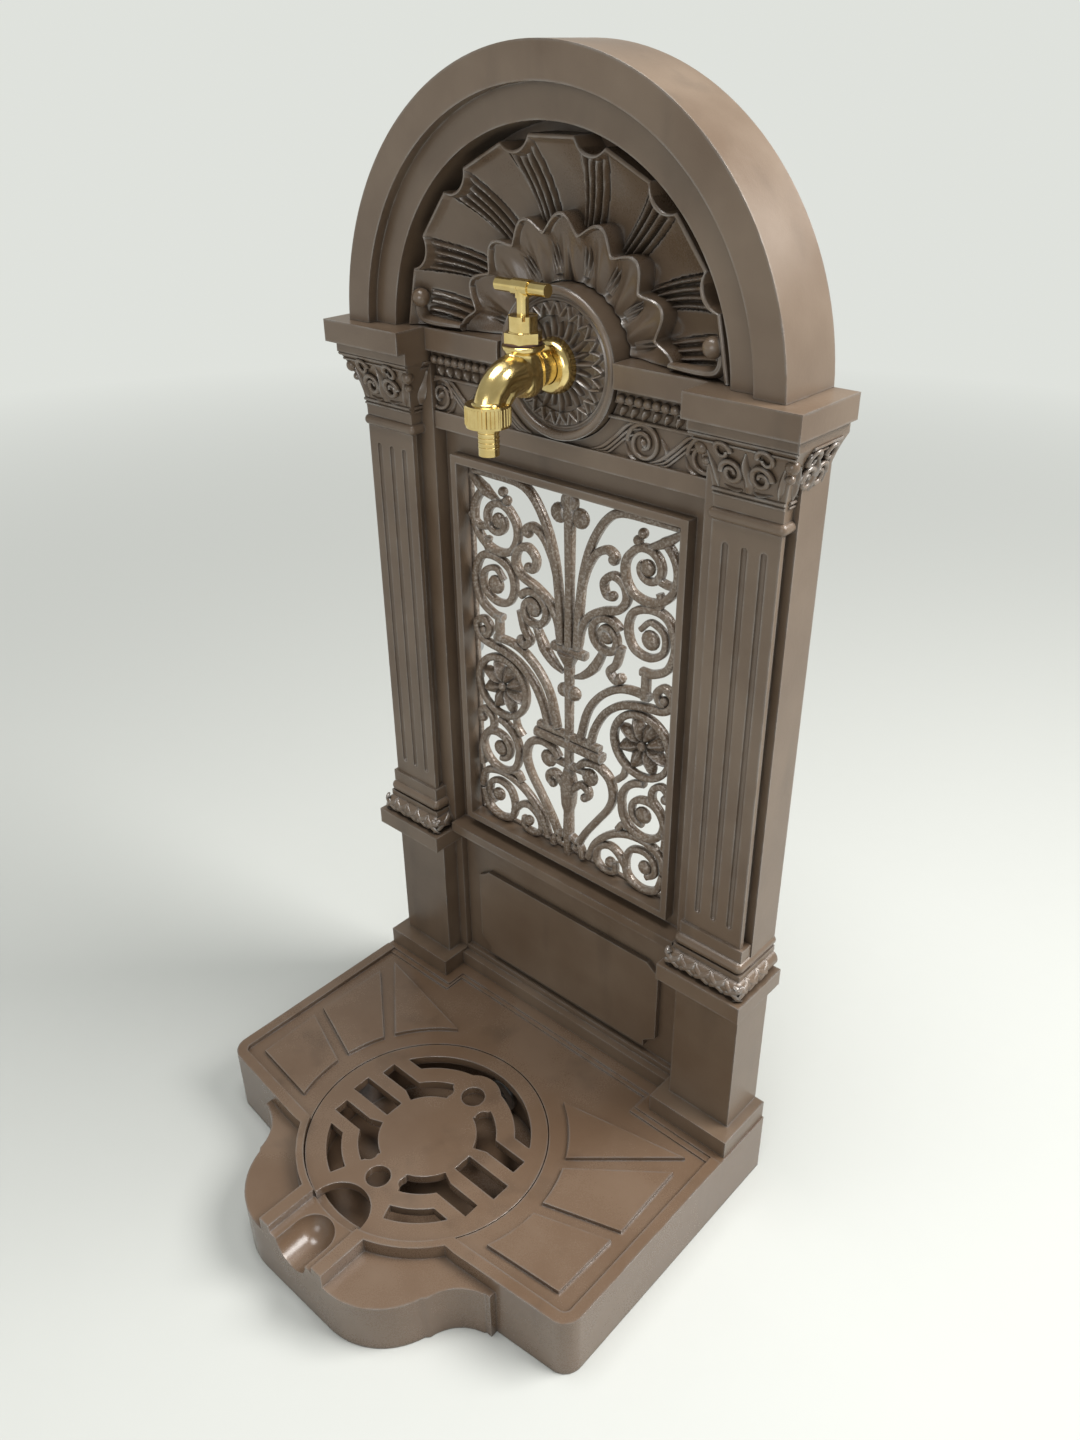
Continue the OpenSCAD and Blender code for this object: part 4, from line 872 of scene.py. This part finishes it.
def makeBeadRow():
    g = Grower("beadRow", beadCount=frieze["beads"], beadPitch=frieze["pitch"] * mm,
               beadRadius=frieze["beadR"] * mm)
    step = g.node("ShaderNodeCombineXYZ", None, X=g.size("beadPitch"))
    row = g.node("GeometryNodeMeshLine", {"mode": "OFFSET"}, Count=g.size("beadCount"), Offset=step)
    bead = g.node("GeometryNodeMeshUVSphere", None, Segments=18, Rings=10, Radius=g.size("beadRadius"))
    g.close(g.node("GeometryNodeInstanceOnPoints", None, Points=row, Instance=bead), reliefPaint)
    start = Matrix.Translation(place(frieze["beadX"], frieze["beadDepth"], frieze["beadZ"]).tolist())
    sides = (Matrix(), Matrix.Scale(-1, 4, (1, 0, 0)))
    half = [g.grow(bpy.data.meshes.new("beadSeed"), "beadRow", side @ start) for side in sides]
    addPiece("friezeBeads", joined("friezeBeads", half), reliefPaint, angle=80)


# strands that rise from one scroll to the next; they stop short of the rosette
def addSweeps(bag, face, x):
    for gap, thick in sweepStrands:
        sweep = smoothLine([(x - 43 + gap, 602.5), (x - 33 + gap * 0.6, 607 - gap * 0.5),
                            (x - 22, 616 - gap), (x - 12, 625 - gap * 1.1), (x - 2, 627 - gap * 0.9)], 6)
        hidden = (sweep[:, 0] ** 2 + (sweep[:, 1] - shell["z"]) ** 2) < frieze["clearR"] ** 2
        if (~hidden).sum() > 4:
            strand(bag, face, sweep[~hidden], (0.8, thick, thick, 0.7), 0.9, 1.1)


def makeFriezeRelief():
    bag = Bag()
    face = flat(frieze["face"])
    z = frieze["scrollZ"]
    for x in np.arange(frieze["beadX"], 120, frieze["dartPitch"]):
        dart = straight((x, frieze["dartZ"] + 1), (x - frieze["dartLean"], frieze["dartFoot"]))
        leaf(bag, flat(frieze["face"] + frieze["dartFront"]), dart, (2.6, 3.4, 2.4, 0.6), 2.8, 3)
    line = straight((frieze["lineIn"], frieze["lineZ"]), (frieze["lineOut"], frieze["lineZ"]))
    strand(bag, face, line, (1.3, 1.3), 1.2, 1.2)
    for k in range(frieze["scrolls"]):
        x = frieze["scrollX"] + frieze["scrollPitch"] * k
        strand(bag, face, coilLine(x, z, 180, scrollRadii, -1, 9), (1.7, 1.6, 1.3), 1.0, 1.2)
        leaf(bag, face, straight((x + 3, z - 3.5), (x - 2.5, z + 3.5)), (1.2, 3.0, 3.4, 1.5), 3.4)
        addSweeps(bag, face, x)
        low = smoothLine([(x - 15, 612), (x - 11, 605), (x - 4, 601.5), (x + 5, 601.5)], 5)
        leaf(bag, face, low, (0.8, 2.0, 2.4, 0.9), 2.6)
        high = smoothLine([(x + 14, 620), (x + 19, 612), (x + 18, 604)], 5)
        leaf(bag, face, high, (0.8, 2.6, 2.4, 0.7), 2.6)
    bag.mirror()
    addRelief("friezeRelief", bag, 60)


makeBeadRow()
makeFriezeRelief()
print("stage: frieze made")

# ---- capitals and pilaster bases ----

pilaster = {"x": 161.0, "half": 25.0, "depth": 43.0, "bellLow": 592.0, "bellHigh": 640.0, "flare": 13.0,
            "flareCurve": 2.2, "scrollReach": 10, "cornerX": 31}
capitalLines = ((638.4, 1.3), (634.6, 1.0), (604.0, 1.2), (601.0, 0.9))     # height and radius
lowCoil = (7.4, 7.4, 6.2, 5, 4, 3, 2)
highCoil = (5.8, 5.4, 4.6, 3.6, 2.4)


# how far the bell of the capital stands out at a height
def bellRise(z):
    t = np.clip((z - pilaster["bellLow"]) / (pilaster["bellHigh"] - pilaster["bellLow"]), 0, 1)
    return pilaster["flare"] * t ** pilaster["flareCurve"]


def bellFront(u, v, h):
    return place(pilaster["x"] + u, pilaster["depth"] + bellRise(v) + h, v)


def bellFlank(sign):
    return lambda u, v, h: place(pilaster["x"] + sign * (pilaster["half"] + bellRise(v) + h), u, v)


# a pair of scrolls with a side leaf and a low leaf, on one side of a capital's face
def addScrolls(bag, surface, mid, w, s):
    strand(bag, surface, coilLine(mid + s * 10.5 * w, 617, 90 - 90 * s, lowCoil, s, 8),
           (2.0, 1.8, 1.3), 1.4, 1.2)
    strand(bag, surface, coilLine(mid + s * 15 * w, 630.5, 90 + 90 * s, highCoil, -s, 8),
           (1.8, 1.6, 1.2), 1.4, 1.2)
    outer = smoothLine([(mid + s * 21 * w, 606), (mid + s * 23 * w, 616), (mid + s * 27 * w, 628)], 6)
    leaf(bag, surface, outer, (1.0, 2.8, 2.6, 0.8), 2.8)
    low = smoothLine([(mid + s * 4 * w, 607), (mid + s * 9 * w, 606), (mid + s * 17 * w, 608)], 5)
    leaf(bag, surface, low, (1, 2, 1.6, 0.6), 2.2)


def makeCapitals():
    bag = Bag()
    front = pilaster["half"]
    for surface, mid, reach in ((bellFront, 0, front), (bellFlank(1), 24, 16), (bellFlank(-1), 32, 8)):
        for z, r in capitalLines:
            rise = bellRise(np.array(z)) if surface is bellFront else 0
            line = straight((mid - reach - rise, z), (mid + reach + rise, z), 8)
            strand(bag, surface, line, (r, r), 0.4, 1.0)
        middle = smoothLine([(mid, 606), (mid + 1, 614), (mid - 1, 623), (mid + 1, 632)], 6)
        leaf(bag, surface, middle, (3.5, 5.0, 4.0, 0.6), 4.5)
        if reach > pilaster["scrollReach"]:
            for s in (-1, 1):
                addScrolls(bag, surface, mid, reach / front, s)
    # corner volutes under the impost
    for s in (-1, 1):
        corner = pilaster["x"] + s * pilaster["cornerX"]
        bag.ball(corner, 49.5, 629.5, 4.4, (1, 1, 1.1))
        bag.ball(corner - s * 2.0, 47.0, 621.0, 3.0)
    bag.mirror()
    addRelief("capitalRelief", bag, 60)


braid = {"half": 34.0, "depth": 54.0, "z": 230.5, "r": 7.5, "pitch": 13.6, "climb": 9.5, "waist": 4.5}
braidLeaf = (1.4, 2.6, 3.2, 2.6, 1.4)


# the outside of the rounded moulding; "across" runs along it, "along" climbs over it
def braidFront(u, v, h):
    t = v / braid["r"]
    return place(pilaster["x"] + u, braid["depth"] - braid["r"] + (braid["r"] + h) * np.cos(t),
                 braid["z"] + (braid["r"] + h) * np.sin(t))


def braidFlank(sign):
    def surface(u, v, h):
        t = v / braid["r"]
        return place(pilaster["x"] + sign * (braid["half"] - braid["r"] + (braid["r"] + h) * np.cos(t)), u,
                     braid["z"] + (braid["r"] + h) * np.sin(t))
    return surface


def makeBraids():
    bag = Bag()
    half, climb, waist = braid["half"], braid["climb"], braid["waist"]
    front = braid["depth"] - 1.0
    for surface, start, end in ((braidFront, -half, half), (braidFlank(1), 12.0, front),
                                (braidFlank(-1), 34.0, front)):
        count = max(1, round((end - start) / braid["pitch"]))
        step = (end - start) / count
        for k in range(count):
            a, b = start + k * step, start + (k + 1) * step
            for p, q in ((a, b), (b, a)):
                middle = (p + q) / 2
                bend = smoothLine([(p, -climb), ((p * 3 + middle) / 4, -waist), (middle, 0),
                                   ((q * 3 + middle) / 4, waist), (q, climb)], 5)
                leaf(bag, surface, bend, braidLeaf, 1.5, 0.6)
    bag.mirror()
    addRelief("baseBraids", bag, 50)


makeCapitals()
makeBraids()
print("stage: pilaster ornament made")

# ---- tap ----

tap = {"z": 655.0, "body": 65.0, "outlet": 99.0, "inlet": 10.45, "cell": 0.75, "smoothings": 8,
       "smoothBy": 0.6, "ridge": 0.10, "sides": 36, "turnedSides": 40, "facetX": 9.6}
# depth and height along the spout with its radii, and radius and height up the valve's housing
spoutLine = ((31, 655), (45, 655), (60, 655), (74, 656), (86, 654), (94, 648), (98, 639), (99, 630))
spoutRadii = (10.8, 10.4, 12.2, 13.0, 11.4, 10.4, 10.3, 10.3)
housing = ((3, 640.4), (8.5, 641.8), (12.6, 647), (14.0, 655), (12.6, 662), (10.6, 666.5), (11.2, 669),
           (13.6, 670.6), (14.2, 673.9))
facet = ((70, 650), (80, 651), (89, 644), (94, 636))


# a round bar along a line in the tap's middle plane, with a ridge along its upper side
def spoutGrid(line, radii):
    line, across = pathFrame(line)
    r = spread(radii, len(line))[:, None]
    t = np.linspace(0, 2 * np.pi, tap["sides"], endpoint=False)[None]
    rise = r * (1 + tap["ridge"] * np.clip(np.cos(t), 0, 1) ** 8)
    depth = line[:, :1] + across[:, :1] * rise * np.cos(t)
    z = line[:, 1:] + across[:, 1:] * rise * np.cos(t)
    return place(rise * np.sin(t), depth, z)


# a turned shape on the tap's upright axis
def turned(depth, profile):
    profile = np.asarray(profile, float)
    t = np.linspace(0, 2 * np.pi, tap["turnedSides"], endpoint=False)[None]
    r = profile[:, :1]
    return place(r * np.cos(t), depth + r * np.sin(t), profile[:, 1:])


def makeTapBody():
    bag = Bag()
    bag.tube(spoutGrid(smoothLine(spoutLine, 8), spoutRadii))
    bag.tube(turned(tap["body"], smoothLine(housing, 5)))
    for side in (-1, 1):
        leaf(bag, lambda u, v, h, s=side: place(s * (tap["facetX"] + h), u, v), smoothLine(facet, 6),
             (1, 4.5, 4.5, 1), 2.6, 3)
    # one skin over the crossing shapes, then smoothed
    holder = bpy.data.objects.new("tapCore", bag.mesh("tapCore"))
    bpy.context.scene.collection.objects.link(holder)
    cells = holder.modifiers.new("cells", "REMESH")
    cells.mode = "VOXEL"
    cells.voxel_size = tap["cell"] * mm
    smooth = holder.modifiers.new("smooth", "SMOOTH")
    smooth.iterations = tap["smoothings"]
    smooth.factor = tap["smoothBy"]
    core = evaluatedMesh(holder)
    bpy.data.objects.remove(holder)
    # inlet shank, outlet shank and the shoulder on the flange
    ends = Bag()
    r = tap["inlet"]
    t = np.linspace(0, 2 * np.pi, tap["turnedSides"], endpoint=False)[None]
    shank = np.array([(0.8 * r, -14.0), (r - 0.5, -13.9), (r, -13.2), (r, -0.5), (r - 0.3, -0.4),
                      (r - 0.3, 38)])
    ends.tube(place(shank[:, :1] * np.cos(t), shank[:, 1:], tap["z"] + shank[:, :1] * np.sin(t)))
    outlet = [(6.0, 633.6), (r - 0.4, 633.6), (r, 634.2), (r, 643.5), (r - 1, 644.5)]
    ends.tube(turned(tap["outlet"], outlet))
    whole = joined("tapBody", [core, ends.mesh("tapEnds")])
    addPiece("tapBody", whole, brass, angle=50, replaces=("tap_body",))


makeTapBody()
for node, name in (("tee_handle", "teeHandle"), ("bonnet", "tapBonnet"), ("gland_nut", "glandNut"),
                   ("tap_flange", "tapFlange"), ("hose_tail", "hoseTail")):
    softCopy(node, name, 0.35, brass, angle=28)
print("stage: tap made")


# ---- hardware and fittings ----

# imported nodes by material, those under a visual copy too
fittings = (
    (steel, ("drain_pipe", "drain_locknut", "drain_strainer", "foot_bolts", "foot_washers", "side_bolts",
             "side_nuts", "arch_bolts", "arch_nuts", "plaque_screws", "panel_screws", "grille_screws",
             "locknut_washer")),
    (rubber, ("drain_gasket", "hose_washer", "valve_washer")),
    (fibre, ("bonnet_washer", "gland_packing")),
    (brass, ("tap_body", "tee_handle", "hose_nut", "tap_flange")),
    (satinBrass, ("tap_locknut", "valve_jumper", "bonnet", "gland_nut", "spindle", "handle_pin",
                  "hose_tail")),
    (grillePaint, ("scroll_grille",)),
    (reliefPaint, ("shell_plaque", "tap_rosette")),
)
for material, nodes in fittings:
    for node in nodes:
        mesh = frame["nodes"][node].data
        mesh.materials.clear()
        mesh.materials.append(material)
print("stage: fittings painted")

# ---- camera, floor and light ----

view = {"azimuth": 0.737, "elevation": 0.528, "roll": -0.011, "place": (0.5111, -0.4533, 0.8357),
        "lens": 28.79, "sensor": 36}


def makeCamera():
    a, e, r = view["azimuth"], view["elevation"], view["roll"]
    back = Vector((math.sin(a) * math.cos(e), -math.cos(a) * math.cos(e), math.sin(e)))
    right = Vector((0, 0, 1)).cross(back).normalized()
    up = back.cross(right)
    right, up = math.cos(r) * right + math.sin(r) * up, math.cos(r) * up - math.sin(r) * right
    turn = Matrix((right, up, back)).transposed().to_quaternion()
    data = bpy.data.cameras.new("photoCamera")
    data.sensor_fit = "VERTICAL"
    data.sensor_height = view["sensor"]
    data.lens = view["lens"]
    camera = bpy.data.objects.new("photoCamera", data)
    camera.matrix_world = Matrix.LocRotScale(Vector(view["place"]), turn, None)
    bpy.context.scene.collection.objects.link(camera)
    bpy.context.scene.camera = camera


aim = Vector((0, -0.08, 0.40))      # every lamp points at the middle of the wall


def makeLight(name, x, y, z, width, height, power, tint):
    data = bpy.data.lights.new(name, "AREA")
    data.shape = "RECTANGLE"
    data.size = width
    data.size_y = height
    data.energy = power
    data.color = tint
    lamp = bpy.data.objects.new(name, data)
    lamp.location = (x, y, z)
    lamp.rotation_euler = (aim - lamp.location).to_track_quat("-Z", "Y").to_euler()
    bpy.context.scene.collection.objects.link(lamp)


roomTone = (0.74, 0.76, 0.72, 1)
paperLook = {"light": (0.50, 0.512, 0.49, 1), "dark": (0.475, 0.487, 0.465, 1), "grainScale": 40,
             "grainShare": 0.3, "rough": 0.85, "half": 80, "under": 0.0005, "fade": 0.25}


# the paper turns into the even tone of the room far from the object
def fadeOut(paper):
    spot = paper.node("ShaderNodeTexCoord").outputs["Object"]
    length = paper.node("ShaderNodeVectorMath", {"operation": "LENGTH"}, i0=spot)
    far = Flow(paper, length.outputs["Value"])
    share = paper.ramp(far * paperLook["fade"], (0.10, 0), (0.75, 1))
    glow = paper.node("ShaderNodeEmission", None, Color=roomTone, Strength=1.0)
    end = next(n for n in paper.tree.nodes if n.type == "OUTPUT_MATERIAL")
    shader = next(n for n in paper.tree.nodes if n.type == "BSDF_PRINCIPLED")
    mixed = paper.node("ShaderNodeMixShader", None, Fac=share)
    paper.tree.links.new(shader.outputs[0], mixed.inputs[1])
    paper.tree.links.new(glow.outputs[0], mixed.inputs[2])
    paper.tree.links.new(mixed.outputs[0], end.inputs["Surface"])


def makeFloor():
    paper = Painter("paleFloor")
    grain = paper.noise(paperLook["grainScale"], 3)
    tone = paper.blend(grain * paperLook["grainShare"], paperLook["light"], paperLook["dark"])
    look = paper.finish(Base_Color=tone, Roughness=paperLook["rough"])
    fadeOut(paper)
    mesh = bpy.data.meshes.new("paleFloor")
    h = paperLook["half"]
    mesh.from_pydata([(-h, -h, 0), (h, -h, 0), (h, h, 0), (-h, h, 0)], [], [(0, 1, 2, 3)])
    mesh.materials.append(look)
    floor = bpy.data.objects.new("paleFloor", mesh)
    floor.location.z = -paperLook["under"]
    bpy.context.scene.collection.objects.link(floor)


skyBand = (("From Min", 0.05), ("From Max", 0.22), ("To Min", 1.0), ("To Max", 0.5))


# dimmer overhead than along the horizon
def makeWorld():
    world = bpy.data.worlds.new("studio")
    world.use_nodes = True
    sky = world.node_tree
    height = sky.nodes.new("ShaderNodeSeparateXYZ")
    sky.links.new(sky.nodes.new("ShaderNodeTexCoord").outputs["Generated"], height.inputs[0])
    band = sky.nodes.new("ShaderNodeMapRange")
    for key, value in skyBand:
        band.inputs[key].default_value = value
    sky.links.new(height.outputs["Z"], band.inputs["Value"])
    sky.links.new(band.outputs[0], sky.nodes["Background"].inputs[1])
    sky.nodes["Background"].inputs[0].default_value = roomTone
    bpy.context.scene.world = world


makeCamera()
makeFloor()
makeLight("keyLight", 1.25, 0.8, 1.85, 1.1, 1.1, 66, (1.0, 0.98, 0.96))
makeLight("frontFill", 0.9, -2.0, 1.1, 0.9, 0.9, 12, (0.98, 0.98, 1.0))
makeLight("topLight", 0.0, -0.2, 2.2, 1.0, 0.7, 24, (1, 1, 1))
makeWorld()
bpy.context.scene.view_settings.view_transform = "Standard"
print("stage: camera, floor and light set")
